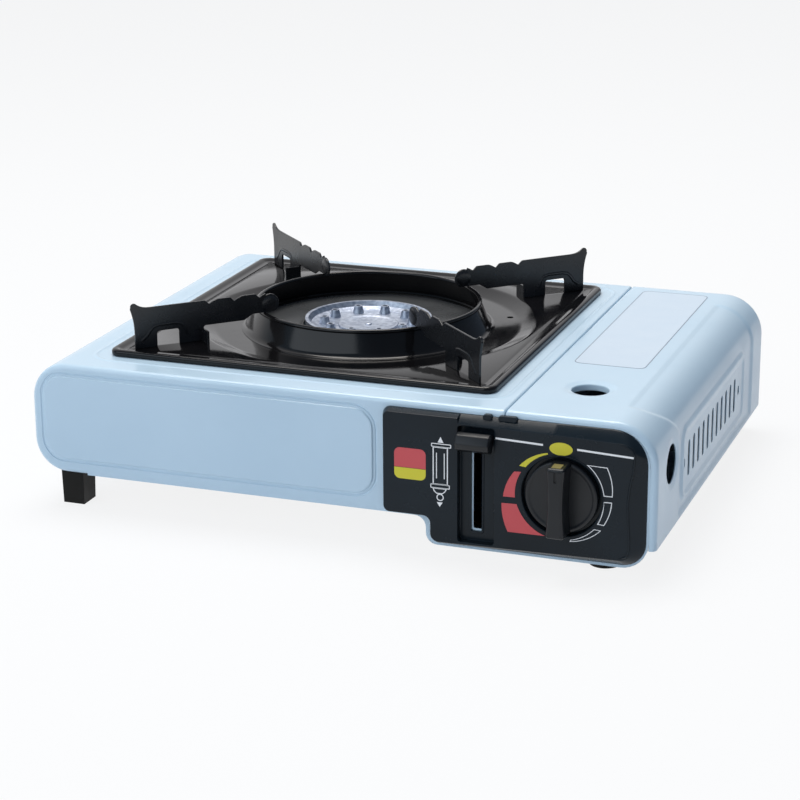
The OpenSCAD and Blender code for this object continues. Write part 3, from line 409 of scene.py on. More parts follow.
# ---- case dimensions, as in the frame ----
HALF_W, HALF_D = 170.0, 126.0
FRONT = -HALF_D
TOP, HIGH, LOW = 80.7, 20.5, 5.8    # top plate, and the lower edge left and right of the step
EDGE = 3.0                          # radius of the front and rear edges
SEAM = 92.1                         # where the case ends beside the lid
FOLD_R, FOLD_DEPTH = 1.2, 14        # the folded edge there
BAY, BAY_TOP = 166.0, 61.4          # right end of the cartridge bay, and its wall's top at the rear
CORNER_R = 20                       # upper left corner
WRAP_R, WRAP_END = 18, -139.2       # the left side's wrapped lower edge
STEP_X, STEP_R = 51, 6              # the step under the burner side
HEEL_R = 14                         # lower right corner
SHOULDER_R, SHOULDER_Z = 18, 58.6   # the front wall's corner under the lid
LID_REACH = 0.3                     # how much nearer to the lid's edge the front wall comes
TOP_LEFT = CORNER_R - HALF_W

# rounded rectangles: (x0, z0, x1, z1, r), or y in place of z
FIELD = (-165.0, 26.5, 25.0, 76.5, 13.0)        # pressed into the front wall
RIDGE = (-145.5, -113, 88.5, 117, 15)           # round the tray
WELL = (-125, -93.5, 71, 96.5, 20)              # opening under it
LEVER_OPENING = (76.2, 17.2, 82.6, 69.8, 1)     # behind the panel
KNOB_OPENING = (125.3, 43.2, 12)                # and a round one: x, z, r
# (inset, how far it stands out) across the field's pressed border, and across the ridge
FIELD_STEPS = ((0, 0), (0.15, -0.25), (0.4, -0.4), (0.7, -0.4), (0.95, -0.2), (1.2, 0), (2.0, 0.08),
               (2.3, 0.4), (2.55, 0.78), (2.9, 0.92), (3.6, 0.95))
RIDGE_STEPS = ((0, 0), (0.5, 0.12), (1.1, 0.32), (1.7, 0.4), (2.3, 0.32), (2.9, 0.12), (3.4, 0))
# (distance outwards, depth) down the drawn edge of the well
WELL_STEPS = ((1.5, 0), (0.75, 0.2), (0.2, 0.75), (0, 1.5), (0, 6))


def fillet(n=6):
    """(inset, distance from the end face) along a rounded edge."""
    return [(EDGE * (1 - math.sin(math.pi / 2 * k / n)), EDGE * (1 - math.cos(math.pi / 2 * k / n)))
            for k in range(n + 1)]


def case_profile():
    """Wrapped edge, left corners and top, from under the case to the top's flat."""
    return ([(WRAP_END, HIGH)] + arc(WRAP_R - HALF_W, HIGH + WRAP_R, WRAP_R, 270, 180, 10)
            + arc(TOP_LEFT, TOP - CORNER_R, CORNER_R, 180, 90, 12))


def wall_outline(front):
    """The rest of the front or rear wall, from the seam round to the wrapped edge."""
    if front:
        shift = LID_REACH
        lid_side = [(SEAM, SHOULDER_Z + SHOULDER_R)] + arc(
            BAY - SHOULDER_R + shift, SHOULDER_Z, SHOULDER_R, 90, 0, 8)
    else:
        shift = 0
        lid_side = [(SEAM, BAY_TOP), (BAY, BAY_TOP)]
    return (lid_side + arc(BAY - HEEL_R + shift, LOW + HEEL_R, HEEL_R, 0, -90, 8)
            + arc(STEP_X + STEP_R, LOW + STEP_R, STEP_R, 270, 180, 6)
            + arc(STEP_X - STEP_R, HIGH - STEP_R, STEP_R, 0, 90, 6) + [(WRAP_END, HIGH)])


def front_openings(sheet):
    """The pressed field, and the loops that the front wall is filled round."""
    field = [sheet.front(grown(FIELD, -d), FRONT - h) for d, h in FIELD_STEPS]
    sheet.bridge(*field)
    sheet.fill(field[-1])
    return [field[0], sheet.front(rounded(*LEVER_OPENING), FRONT),
            sheet.front(circle(*KNOB_OPENING, 32), FRONT)]


def fold(top, foot):
    """(x, z) down the folded edge at the seam."""
    return arc(SEAM - FOLD_R, top - FOLD_R, FOLD_R, 90, 0, 4) + [(SEAM, foot)]


def top_case():
    sheet = Sheet()
    left = case_profile()
    walls = []
    for side in (-1, 1):
        rows = [sheet.front(inset(left + [(SEAM - FOLD_R, TOP)], -d, closed=False),
                            side * (HALF_D - back)) for d, back in fillet()]
        sheet.bridge(*rows, closed=False)
        walls.append(rows)
    sheet.bridge(*(rows[-1][:len(left)] for rows in walls), closed=False)
    for side, rows in zip((-1, 1), walls):
        edge = [(v.co.x / MM, v.co.z / MM) for v in rows[0]]
        outer = sheet.front(edge + [(SEAM, TOP - EDGE - 0.6)] + wall_outline(side < 0), side * HALF_D)
        sheet.fill(outer, *(front_openings(sheet) if side < 0 else ()))
    # top with the ridge round the tray and the drawn-down opening
    flat_y = HALF_D - EDGE
    flat = sheet.level([(TOP_LEFT, -flat_y), (SEAM - FOLD_R, -flat_y), (SEAM - FOLD_R, flat_y),
                        (TOP_LEFT, flat_y)], TOP)
    ridge = [sheet.level(grown(RIDGE, -d), TOP + h) for d, h in RIDGE_STEPS]
    sheet.bridge(*ridge)
    sheet.fill(flat, ridge[0])
    well = [sheet.level(grown(WELL, d), TOP - h) for d, h in WELL_STEPS]
    sheet.bridge(*well)
    sheet.fill(ridge[-1], well[0])
    # the folded edge at the seam, and its rounded ends
    sheet.bridge(*(sheet.front(fold(TOP, TOP - FOLD_DEPTH), y) for y in (-flat_y, flat_y)), closed=False)
    for side in (-1, 1):
        ends = []
        for d, back in fillet():
            foot = TOP - d - 2 if d else TOP - FOLD_DEPTH
            ends.append(sheet.front(fold(TOP - d, foot), side * (HALF_D - back)))
        sheet.bridge(*ends, closed=False)
    keep_flats(sheet.done("top_case_shell", BLUE, "root", ["top_case"], thick=0.8))


# ---- lid ----
LID_LEFT, LID_LOW = 92.5, 16.0                  # its edges at the seam and at the bottom
LID_R = 22.0
LID_X, LID_Z = HALF_W - LID_R, TOP - LID_R      # centre of the corner between top and side
LID_ARC = LID_R * math.pi / 2
LID_ROWS = 168                                  # from front to rear
ACROSS, ROUND, DOWN = 40, 28, 36                # steps over the top, the corner and the side
RELIEF, RELIEF_Y = 0.75, 99                     # depth of the sunk field, and its two ends
LIP = 3.6                                       # depth of its end faces
REAR_LIP_X, REAR_LIP_Z = 166.4, 62              # how far the rear one reaches, over the case's wall
TOP_HOLE, TOP_HOLE_R = (122.2, -76.5), 10       # finger hole in the top: x, y
SIDE_HOLE, SIDE_HOLE_R = (-94.8, 51.5), 10.2    # and in the side: y, z
VENT_PANEL = (4, 42, 76, 20.5, 9)               # round the vents: middle, half sizes, r
VENT_Z, VENT_PITCH, VENT_R = 42, 11.0, 1.85
END_VENT_Y = 65.5


def round_box(u, v, cu, cv, hu, hv, r):
    """Signed distance from a rounded rectangle, negative inside."""
    qu, qv = abs(u - cu) - hu + r, abs(v - cv) - hv + r
    return math.hypot(max(qu, 0), max(qv, 0)) + min(max(qu, qv), 0) - r


def lid_profile():
    """(x, z, normal angle, distance from the crease) across the lid from the seam to the lower edge."""
    start = LID_LEFT + FOLD_R
    pts = [(LID_LEFT, TOP - z, 180, -60) for z in (6.7, 4, 2, FOLD_R)]
    pts += [(x, z, a, -58) for (x, z), a in zip(arc(start, TOP - FOLD_R, FOLD_R, 180, 90, 4)[1:],
                                                (157, 135, 112, 90))]
    pts += [(start + (LID_X - start) * k / ACROSS, TOP, 90, (LID_X - start) * (k / ACROSS - 1))
            for k in range(1, ACROSS + 1)]
    pts += [(LID_X + LID_R * math.sin(t), LID_Z + LID_R * math.cos(t), 90 - math.degrees(t), LID_R * t)
            for t in (math.pi / 2 * k / ROUND for k in range(1, ROUND + 1))]
    side = LID_Z - LID_LOW
    pts += [(HALF_W, LID_Z - side * k / DOWN, 0, LID_ARC + side * k / DOWN)
            for k in range(1, DOWN + 1)]
    return pts


def lid_relief(x, z, run, y):
    """How far the pressed relief stands out from the plain lid, in millimetres."""
    # the sunk field's front end lies further back on the side than on the top
    front_edge = -RELIEF_Y + 21 * ease(run, 6, LID_ARC - 2)
    out = (-RELIEF * ease(run, -0.6, 1.8) * ease(y - front_edge, -1.4, 1.4)
           * ease(RELIEF_Y - y, -1.6, 1.6))
    if run > 20:
        # a bead runs round the vents' panel, whose middle is sunk again
        panel = round_box(y, z, *VENT_PANEL)
        out += RELIEF * ease(-panel, -0.2, 2.0) - 0.5 * ease(-panel, 3.2, 5.4)
        out *= ease(z, LID_LOW + 1, LID_LOW + 4) * (1 + 0.5 * ease(run, 20, 34))
        hole = math.hypot(y - SIDE_HOLE[0], z - SIDE_HOLE[1])
        out -= 0.7 * ease(13.2 - hole, 0, 2.4)
    else:
        hole = math.hypot(x - TOP_HOLE[0], y - TOP_HOLE[1])
        out -= 0.9 * ease(13.4 - hole, 0, 2.8)
    return out


def lip_depth(side, x, z, angle):
    """How far the end face reaches in: a lip in front, and down to the wall's top at the rear."""
    if side < 0:
        return LIP
    if angle > 90:
        return z - REAR_LIP_Z
    c, s = math.cos(math.radians(angle)), math.sin(math.radians(angle))
    down = (z - REAR_LIP_Z) / s if s > 0.02 else -1
    across = (x - REAR_LIP_X) / c if c > 0.02 else -1
    return max(LIP, down, across)


def lid_end(pts, side, back, depth=None):
    """A row of the front or rear end, back from its face and moved in by depth, or by the lip's."""
    y = side * (HALF_D - back)
    out = []
    for x, z, a, _ in pts:
        e = lip_depth(side, x, z, a) if depth is None else depth
        if a > 90:
            out.append(at(x, y, z - e))
        else:
            out.append(at(x - math.cos(math.radians(a)) * e, y, z - math.sin(math.radians(a)) * e))
    return out


def lid_cutter():
    """Everything that is cut out of the lid."""
    cut = Sheet()

    def stud(outline, place, ends):
        cut.bar(*(cut.row(place(u, v, w) for u, v in outline) for w in ends))

    def sideways(y, z, x):
        return at(x, y, z)

    # (y, half width, half height) of the vents
    vents = [(n * VENT_PITCH, 2.2, 9.6) for n in range(-5, 6)]
    vents += [(side * END_VENT_Y, 1.9, 2.6) for side in (-1, 1)]
    through = (HALF_W - 8, HALF_W + 8)
    for y, hy, hz in vents:
        stud(rounded(y - hy, VENT_Z - hz, y + hy, VENT_Z + hz, VENT_R, 4), sideways, through)
    stud(circle(*SIDE_HOLE, SIDE_HOLE_R), sideways, through)
    stud(circle(*TOP_HOLE, TOP_HOLE_R), at, (72, 88))
    # the slit in the rear face
    stud([(144.6, 61), (146.3, 61), (146.3, 78.4), (144.6, 78.4)], upright, (124, 127))
    return cut.done("lid_cutter", BLUE, "gas_lid")


def gas_lid():
    sheet = Sheet()
    pts = lid_profile()
    edge = fillet()
    # the front lip turns in by 1.25 mm beside the case's wall
    rows = [sheet.row(lid_end(pts, -1, back)) for back in (1.25, 0)]
    rows += [sheet.row(lid_end(pts, -1, back, d)) for d, back in edge]
    for k in range(1, LID_ROWS):
        y = FRONT + EDGE + (2 * HALF_D - 2 * EDGE) * k / LID_ROWS
        line = []
        for x, z, a, run in pts:
            h = lid_relief(x, z, run, y)
            line.append(at(x + math.cos(math.radians(a)) * h, y, z + math.sin(math.radians(a)) * h))
        rows.append(sheet.row(line))
    rows += [sheet.row(lid_end(pts, 1, back, d)) for d, back in reversed(edge)]
    rows.append(sheet.row(lid_end(pts, 1, 0)))
    sheet.bridge(*rows, closed=False)
    obj = sheet.done("gas_lid_shell", BLUE, "gas_lid", ["gas_lid"], thick=0.55)
    cutter = lid_cutter()
    punch = obj.modifiers.new("holes", "BOOLEAN")
    punch.operation = "DIFFERENCE"
    punch.solver = "EXACT"
    punch.object = cutter
    bake_modifiers(obj)
    bpy.data.objects.remove(cutter)
    obj.data.shade_smooth()
    obj.data.set_sharp_from_angle(angle=math.radians(35))


def bake_modifiers(obj):
    bpy.context.view_layer.update()
    mesh = bpy.data.meshes.new_from_object(obj.evaluated_get(bpy.context.evaluated_depsgraph_get()))
    obj.modifiers.clear()
    obj.data = mesh


# ---- lift-off top ----
BURNER = (-27.0, 1.5)
PLATE = TOP + 1.6                   # underside of the tray's plate
TRAY_TOP = PLATE + 0.8
TRAY_LEFT, TRAY_RIGHT, TRAY_HALF = 108.5, 106.6, 105.5      # its edges, measured from the burner
DISH_Z, DISH_R = 79.6, 66           # the dish's floor, and the radius that its grey enamel reaches
DRAIN = (43.5, 40.3)


def drip_tray():
    sheet = Sheet()
    bx, by = BURNER
    # (inset, height) from under the rolled rim to the plate's flat
    rim = ((0.9, TOP + 0.1), (0.3, TOP + 0.25), (0, TOP + 0.8), (0, TOP + 2.3), (0.35, TOP + 3.0),
           (1.1, TOP + 3.5), (2.1, TOP + 3.6), (3.2, TOP + 3.45), (4.3, TRAY_TOP + 0.45),
           (5.1, TRAY_TOP + 0.1), (5.7, TRAY_TOP), (7.9, TRAY_TOP), (8.2, TRAY_TOP - 0.3),
           (8.6, TRAY_TOP - 0.3), (9.0, TRAY_TOP))
    loops = [sheet.level(rounded(bx - TRAY_LEFT + d, by - TRAY_HALF + d, bx + TRAY_RIGHT - d,
                                 by + TRAY_HALF - d, max(6.5 - 0.6 * d, 2)), z) for d, z in rim]
    sheet.bridge(*loops)
    # (radius, height) down the dish, and over its floor to the edge of the burner's hole
    slope, floor = ([sheet.level(circle(bx, by, r, 128), z) for r, z in profile] for profile in (
        ((95.6, TRAY_TOP), (94.6, TRAY_TOP - 0.04), (93.6, TRAY_TOP - 0.3), (92.4, PLATE),
         (85.6, 79.95), (84.6, 79.7), (83.4, DISH_Z), (82.7, DISH_Z)),
        ((DISH_R, DISH_Z), (60, DISH_Z), (42, DISH_Z), (38.8, 79.65), (37.6, 79.9), (36.9, 80.4),
         (36.8, 80.9))))
    sheet.bridge(*slope)
    sheet.bridge(*floor)
    drain = [sheet.level(circle(*DRAIN, r, 24), DISH_Z) for r in (2.0, 1.8)]
    sheet.bridge(*drain)
    sheet.fill(slope[-1], floor[0], drain[0])
    sheet.fill(loops[-1], slope[0])
    obj = sheet.done("drip_tray_sheet", ENAMEL, "pan_top", ["drip_tray"], thick=0.7, sharp=40)
    obj.data.materials.append(DISH)
    for poly in obj.data.polygons:
        away = poly.center - at(bx, by, 0)
        if math.hypot(away.x, away.y) < DISH_R * MM:
            poly.material_index = 1


# ---- control panel ----
PANEL_T = 5.5
FACE = FRONT - PANEL_T
PANEL_TOP = 77.2
KNOB_X, KNOB_Z = 123.4, 41.4
CHANNEL = (69.6, 11.2, 88.6, 72.3, 1.5)         # the lever's recess
SLOT = (75.5, 16.2, 80.9, 66.8, 0.8)            # and the slot in its floor


def path(*items):
    """A run of points and arcs (cx, cz, r, from, to), each arc with the same number of points."""
    out = []
    for item in items:
        out += [item] if len(item) == 2 else arc(*item, 8)
    return out


def between(a, b, t):
    return [(x + (u - x) * t, z + (v - z) * t) for (x, z), (u, v) in zip(a, b)]


def control_panel():
    rim = path((32.5, 73.2, 4, 90, 180), (32.5, 25.6, 4, 180, 270), (49.5, 17.6, 4, 90, 0),
               (58.5, 12.5, 5, 180, 270), (153.2, 19.5, 12, 270, 360), (165.2, 44.6),
               (147.7, 59.7, 17.5, 0, 90), (120, PANEL_TOP), (118.5, PANEL_TOP), (69.8, PANEL_TOP),
               (69.3, PANEL_TOP))
    face = path((33.3, 73, 3, 90, 180), (33.3, 26, 3, 180, 270), (51.3, 19, 4, 90, 0),
                (59.3, 13.7, 4, 180, 270), (152.6, 17.7, 6, 270, 360), (156.8, 44.6),
                (155.2, 66.4, 5, 0, 90), (120, 72.4), (118.5, 72.5), (69.8, 73.3), (69.3, 76.0))
    # (share of the way from rim to face, share of the thickness)
    steps = ((0, 0), (0, 0.1), (0.06, 0.2), (0.45, 0.58), (0.85, 0.92), (0.93, 0.975), (1, 1))
    # (distance outwards, radius or inset, y)
    channel_steps = ((0.5, FACE), (0.15, FACE + 0.15), (0, FACE + 0.5), (0, -127.3), (-0.3, -127))
    slot_steps = ((1.3, -127), (1.1, -127.35), (0.35, -127.35), (0, -127.1), (0, FRONT))
    pocket_steps = ((21.5, FACE), (21.35, FACE - 0.3), (20.95, FACE - 0.35), (20.6, FACE - 0.1),
                    (20.5, FACE + 0.5), (20.4, -128.4), (20.1, -128.1))
    hook_steps = ((0.4, -128.9), (0.1, -128.7), (0, -128.3), (0, -126.4))
    bead = ((151, 72), (155.2, 71.1), (158.5, 69.2), (159.8, 66.4), (159.2, 58), (157.6, 50),
            (156.8, 42), (157.2, 32), (157.9, 23), (157.9, 17.5), (156.6, 13.9), (153, 12.4))
    sheet = Sheet()
    rows = [sheet.front(between(rim, face, e), FRONT - PANEL_T * h) for e, h in steps]
    sheet.bridge(*rows)
    channel = [sheet.front(grown(CHANNEL, d), y) for d, y in channel_steps]
    sheet.bridge(*channel)
    slot = [sheet.front(grown(SLOT, d), y) for d, y in slot_steps]
    sheet.bridge(*slot)
    sheet.fill(channel[-1], slot[0])
    pocket = [sheet.front(circle(KNOB_X, KNOB_Z, r, 96), y) for r, y in pocket_steps]
    sheet.bridge(*pocket)
    sheet.fill(pocket[-1])
    sheet.fill(rows[-1], channel[0], pocket[0])
    sheet.fill(rows[0], slot[-1])
    for x0, x1 in ((83, 85), (91, 98)):
        loop = arc(x1, PANEL_TOP, 1.4, -90, 90) + arc(x0, PANEL_TOP, 1.4, 90, 270)
        sheet.bar(*(sheet.front(inset(loop, d), y) for d, y in hook_steps))
    rope(sheet, bead, 0.55, 0.75, lambda x, out, z: at(x, FACE - out, z))
    keep_flats(sheet.done("control_panel_moulding", PANEL, "root", ["control_panel"], sharp=28))


# ---- printed marks, in outline (x, z) on the panel's face ----
DIAL = (122.9, 41.4)
THIN, LINE, BOLD = 0.36, 0.42, 0.5              # widths of the outlines


def plates(name, shapes, material, body, place, over, under):
    """Thin plates between two heights: each shape is an outer loop and any holes."""
    sheet = Sheet()
    for loops in shapes:
        tops, lows = ([sheet.row(place(u, v, w) for u, v in loop) for loop in loops]
                      for w in (over, under))
        for a, b in zip(tops, lows):
            sheet.bridge(a, b)
        sheet.fill(*tops)
        sheet.fill(*lows)
    sheet.done(name, material, body)


def turned_left(loop):
    area = sum(a[0] * b[1] - b[0] * a[1] for a, b in zip(loop, loop[1:] + loop[:1]))
    return loop if area > 0 else loop[::-1]


def hollow(loop, width):
    """An outline drawn with a line of this width."""
    loop = turned_left(loop)
    return [loop, inset(loop, width)]


def dial_run(a0, r0, a1, r1, n=14):
    """Points round the knob from one angle and radius to another."""
    out = []
    for k in range(n + 1):
        a, r = math.radians(a0 + (a1 - a0) * k / n), r0 + (r1 - r0) * k / n
        out.append((DIAL[0] + r * math.cos(a), DIAL[1] + r * math.sin(a)))
    return out


def band(outer, inner):
    return dial_run(*outer) + dial_run(*inner)[::-1]


def stroke(a, b, width):
    d = (Vector(b) - Vector(a)).normalized() * width / 2
    return turned_left([(a[0] - d.y, a[1] + d.x), (b[0] - d.y, b[1] + d.x),
                        (b[0] + d.y, b[1] - d.x), (a[0] + d.y, a[1] - d.x)])


def prints():
    """Coloured and outlined bands, a box in two colours, an oval, two lines and a canister."""
    oval = [(122.8 + 5.9 * math.cos(t), 66.0 + 3.3 * math.sin(t))
            for t in (2 * math.pi * k / 40 for k in range(40))]
    yellow = [[band((147.2, 25.3, 107.5, 22.9), (143.7, 22.4, 107.5, 22.2))], [oval],
              [arc(39.2, 44.4, 3, 180, 270, 6) + arc(49.9, 44.4, 3, 270, 360, 6)
               + [(52.9, 47.3), (36.2, 47.3)]]]
    red = [[band((156.4, 26.0, 186.4, 29.7), (152.6, 22.9, 187.8, 23.6))],
           [band((192.7, 31.0, 218.9, 34.6), (196.4, 23.4, 250.6, 22.9))],
           [arc(49.9, 54.8, 3, 0, 90, 6) + arc(39.2, 54.8, 3, 90, 180, 6)
            + [(36.2, 47.5), (52.9, 47.5)]]]
    white = [hollow(band((37.2, 29.3, 5.9, 26.4), (54, 22.1, 7.1, 21.9)), LINE),
             hollow(band((0, 26.1, -29.5, 25.6), (-0.5, 21.6, -33.3, 22.4)), LINE),
             hollow(band((-36.2, 25.9, -77.9, 23.6), (-40.9, 22.8, -76, 22.6)), THIN),
             [stroke((89.3, 68.0), (113.6, 67.2), 1.0)], [stroke((130.9, 66.6), (159.2, 65.4), 1.0)]]
    # a gas canister with an arrow either way
    white += [[turned_left([(60.7, 65.5), (59.2, 62.5), (62.3, 62.5)])],
              [turned_left([(60.3, 28.5), (61.9, 31), (58.8, 31)])],
              hollow(rounded(55.8, 60, 66.3, 62, 0.4, 2), LINE),
              hollow(rounded(55.4, 38.3, 65.6, 40.5, 0.4, 2), LINE),
              hollow([(56.6, 40.2), (64.6, 40.2), (64.6, 60.2), (56.6, 60.2)], 0.55),
              hollow([(57.2, 36.6), (58.6, 35.4), (61.8, 35.4), (63.2, 36.6), (64.2, 38.5),
                      (56.4, 38.5)], BOLD),
              hollow(circle(60.5, 33.6, 1.9, 24), BOLD),
              [stroke((58.6, 43.5), (58.6, 57), 0.45)], [stroke((62.7, 43.5), (62.7, 57), 0.45)]]
    for name, shapes, material in (("print_yellow_marks", yellow, PRINT_YELLOW),
                                   ("print_red_marks", red, PRINT_RED),
                                   ("print_white_marks", white, PRINT_WHITE)):
        plates(name, shapes, material, "root", upright, FACE - 0.09, FACE + 0.12)


# ---- knob and lever grip ----
GRIP_HALF, GRIP_LENGTH, GRIP_R = 5.0, 18.6, 1.6     # half sizes of its bar, corner radius
GRIP_NOTCH = (KNOB_X - 0.6, KNOB_Z + 11.1, KNOB_X + 0.6, KNOB_Z + 16.6, 0.4)


def knob():
    disc_steps = ((17.9, -128.5), (18.5, -128.8), (18.5, -131.7), (18.35, -132.3), (17.9, -132.75),
                  (17.3, -132.9), (16.6, -132.85), (16.1, -132.55), (15.4, -132.45))
    grip_steps = ((-0.1, -131.8), (-0.1, -132.6), (0.1, -133.2), (0.25, -134.5), (0.3, -141.9),
                  (0.4, -142.9), (0.75, -143.6), (1.3, -143.95), (1.9, -144.0))
    sheet = Sheet()
    sheet.bar(*(sheet.front(circle(KNOB_X, KNOB_Z, r, 96), y) for r, y in disc_steps))
    # the bar is a little narrower in its middle
    end = GRIP_LENGTH - GRIP_R
    side = []
    for k in range(25):
        z = -end + 2 * end * k / 24
        side.append((4.1 + 0.9 * (abs(z) / end) ** 1.7, z))
    corner = GRIP_HALF - GRIP_R
    loop = ([(KNOB_X + w, KNOB_Z + z) for w, z in side]
            + arc(KNOB_X + corner, KNOB_Z + end, GRIP_R, 10, 90, 5)
            + arc(KNOB_X - corner, KNOB_Z + end, GRIP_R, 90, 170, 5)
            + [(KNOB_X - w, KNOB_Z + z) for w, z in reversed(side)]
            + arc(KNOB_X - corner, KNOB_Z - end, GRIP_R, 190, 270, 5)
            + arc(KNOB_X + corner, KNOB_Z - end, GRIP_R, 270, 350, 5))
    grip = [sheet.front(inset(loop, d), y) for d, y in grip_steps]
    sheet.bridge(*grip)
    sheet.cap(grip[0])
    notch = [sheet.front(grown(GRIP_NOTCH, d, 3), y)
             for d, y in ((0.1, -144.0), (0, -143.9), (0, -143.3))]
    sheet.bridge(*notch)
    sheet.cap(notch[-1])
    sheet.fill(grip[-1], notch[0])
    sheet.done("knob_moulding", KNOB, "gas_knob", ["knob"])


def lever_knob():
    """A bar of one section along X, turned with the lever, with every edge rounded."""
    section = ((-58.4, -2.8), (-58.0, 1.8), (-55.6, 3.9), (-50.6, 4.2), (-49.4, 3.2),
               (-49.4, -4.4), (-50.6, -5.3), (-56.4, -5.1))
    middle, half_width = 79, 8.7
    pivot_y, pivot_z = -86, 41.5
    c, s = math.cos(math.radians(27)), math.sin(math.radians(27))
    sheet = Sheet()
    sheet.bar(*(sheet.row(at(x, pivot_y + y * c + z * s, pivot_z - y * s + z * c) for y, z in section)
                for x in (middle - half_width, middle + half_width)))
    bmesh.ops.recalc_face_normals(sheet.bm, faces=sheet.bm.faces)
    bmesh.ops.bevel(sheet.bm, geom=sheet.bm.edges[:], offset=1.0 * MM, segments=4, profile=0.5,
                    affect="EDGES", clamp_overlap=True)
    place_mesh("lever_knob_moulding", sheet.mesh("lever_knob_moulding"), KNOB, "lock_lever",
               ["lever_knob"], sharp=50)


# ---- wind ring, pan supports and label ----
def revolve(name, profile, material, body, replaced, n=144, sharp=40, centre=BURNER):
    sheet = Sheet()
    rows = [sheet.level(circle(*centre, r, n), z) for r, z in profile]
    sheet.bridge(*rows, rows[0])
    sheet.done(name, material, body, replaced, sharp=sharp)


def wind_ring():
    outer = [(70.4, 79.62), (70.3, 79.85), (69.4, 80.0), (68.4, 80.5), (67.5, 81.4), (66.8, 82.7),
             (62.9, 92.2)]
    inner = [(61.2, 92.2), (65.9, 81.2), (65.2, 80.5), (64.0, 80.4), (64.0, 79.62)]
    revolve("wind_ring_sheet", outer + arc(62, 93.0, 1.3, -30, 210, 12) + inner, ENAMEL, "pan_top",
            ["wind_ring"])


def burner_cap():
    revolve("burner_cap_pressing",
            [(16.9, 79.3), (16.9, 80.0), (16.6, 80.45), (16.1, 80.6), (15.4, 80.5), (14.6, 80.15),
             (13.4, 79.85), (8, 79.7), (1.9, 79.65), (1.85, 80.1), (1.4, 80.4), (0.02, 80.45),
             (0.02, 79.3)], CAST, "root", ["burner_cap"], n=96, sharp=50)


def hole_flange():
    """The drawn edge inside the lid's finger hole."""
    revolve("lid_hole_flange",
            [(10.5, 79.5), (10.35, 79.75), (10.0, 79.8), (9.7, 79.6), (9.55, 79.1), (9.5, 76.7),
             (9.75, 76.5), (10.1, 76.7), (10.15, 79.0)], BLUE, "gas_lid", (), n=64, centre=TOP_HOLE)


REST = 105.3                                    # height of the edge that carries a pan
HEAD_X, HEAD_Z, HEAD_R = 59, 99, 5.4            # the blade's round inner end


def notch_dip(d):
    """Depth of a V notch, steep on its outer side."""
    reach, bend = (2.4, 1.1) if d > 0 else (5.0, 1.5)
    return 2.3 * (1 - abs(d) / reach) ** bend if abs(d) < reach else 0


def blade_outline():
    """(distance from the burner, height) round a pan support."""
    top = [(r, REST - sum(notch_dip(r - q) for q in (94, 79.5, 65)))
           for r in (100.5 - 0.75 * k for k in range(53))]
    return ([(66, 94.3), (69, 94.3), (74, 91.4), (96.3, 91.4), (97.2, 91.0), (97.5, 90.2),
             (97.5, TRAY_TOP), (111.5, TRAY_TOP), (111.5, 90.4), (111.9, 91.4), (112.8, 91.7),
             (122.7, 91.7), (123.6, 91.4), (124, 90.4), (124, TRAY_TOP), (136.5, TRAY_TOP)]
            + arc(176.5, 92, 40, 180, 161, 6) + arc(136.6, 106.35, 1.85, -10, 125, 8)
            + [(134.3, 106.95), (133.0, 106.25), (131.4, 105.7), (129.6, 105.4), (127.5, REST),
               (118, REST), (109, REST)]
            + top + arc(HEAD_X, HEAD_Z, HEAD_R, 68, 236, 20) + [(58, 94.3)])


def pan_supports():
    outline = turned_left(blade_outline())
    # (place across the sheet, inset), the turned foot, the bead over the window, the head's dome
    sheet_steps = ((-0.6, 0.28), (-0.5, 0.08), (-0.3, 0), (0.3, 0), (0.5, 0.08), (0.6, 0.28))
    foot = ((0, -0.4), (1.2, -0.4), (1.2, 8.6), (0.9, 9), (0.3, 9), (0, 8.6))
    bead = ((134.5, 86.2), (132.4, 87.6), (129.8, 89.6), (127.9, 92.4), (125.8, 94.4), (122.5, 95.1),
            (113.5, 95.1), (110.2, 94.3), (108.4, 92.0), (107.4, 88.6), (105.4, 86.2))
    dome = ((4.7, 0.2), (4.7, 0.5), (4.2, 0.72), (3.2, 0.95), (1.8, 1.08))
    for number, turn in enumerate((45, 135, 225, 315), 1):
        c, s = math.cos(math.radians(turn)), math.sin(math.radians(turn))

        def place(u, v, z):
            return at(BURNER[0] + u * c - v * s, BURNER[1] + u * s + v * c, z)

        sheet = Sheet()
        rows = [sheet.row(place(u, v, z) for u, z in (inset(outline, d) if d else outline))
                for v, d in sheet_steps]
        sheet.bridge(*rows)
        sheet.fill(rows[0])
        sheet.fill(rows[-1])
        sheet.bar(*(sheet.row(place(97.5 + u, v, TRAY_TOP + h) for u, v in foot)
                    for h in (0, 6.7, 7)))
        support = f"pan_support_{number}"
        sheet.done(f"{support}_blade", SATIN, "pan_top", [support], sharp=12)
        sheet = Sheet()
        rope(sheet, bead, 1.5, 0.85, place)
        for side in (-1, 1):
            loops = [sheet.row(place(u, side * v, z) for u, z in circle(HEAD_X, HEAD_Z, q, 28))
                     for q, v in dome]
            sheet.bar(*loops)
        sheet.done(f"{support}_relief", SATIN, "pan_top", sharp=60)


def label_plate():
    """A blank plate with a thin border where the lid carries a printed sheet."""
    outer = rounded(101.5, -36, 140, 116, 4, 5)
    inner = inset(outer, 0.5)
    plates("label_border_line", [[outer, inner]], LABEL_EDGE, "gas_lid", at, TOP + 0.07, TOP - 0.05)
    plates("label_blank_field", [[inner]], LABEL, "gas_lid", at, TOP + 0.05, TOP - 0.05)


def soften(name):
    """Rounds the sharp edges of a carried-over piece."""
    weld = nodes[name].modifiers.new("weld", "WELD")
    weld.merge_threshold = 0.005 * MM
    bevel = nodes[name].modifiers.new("rounded", "BEVEL")
    bevel.width = 0.7 * MM
    bevel.segments = 2
    bevel.limit_method = "ANGLE"
    bevel.angle_limit = math.radians(40)


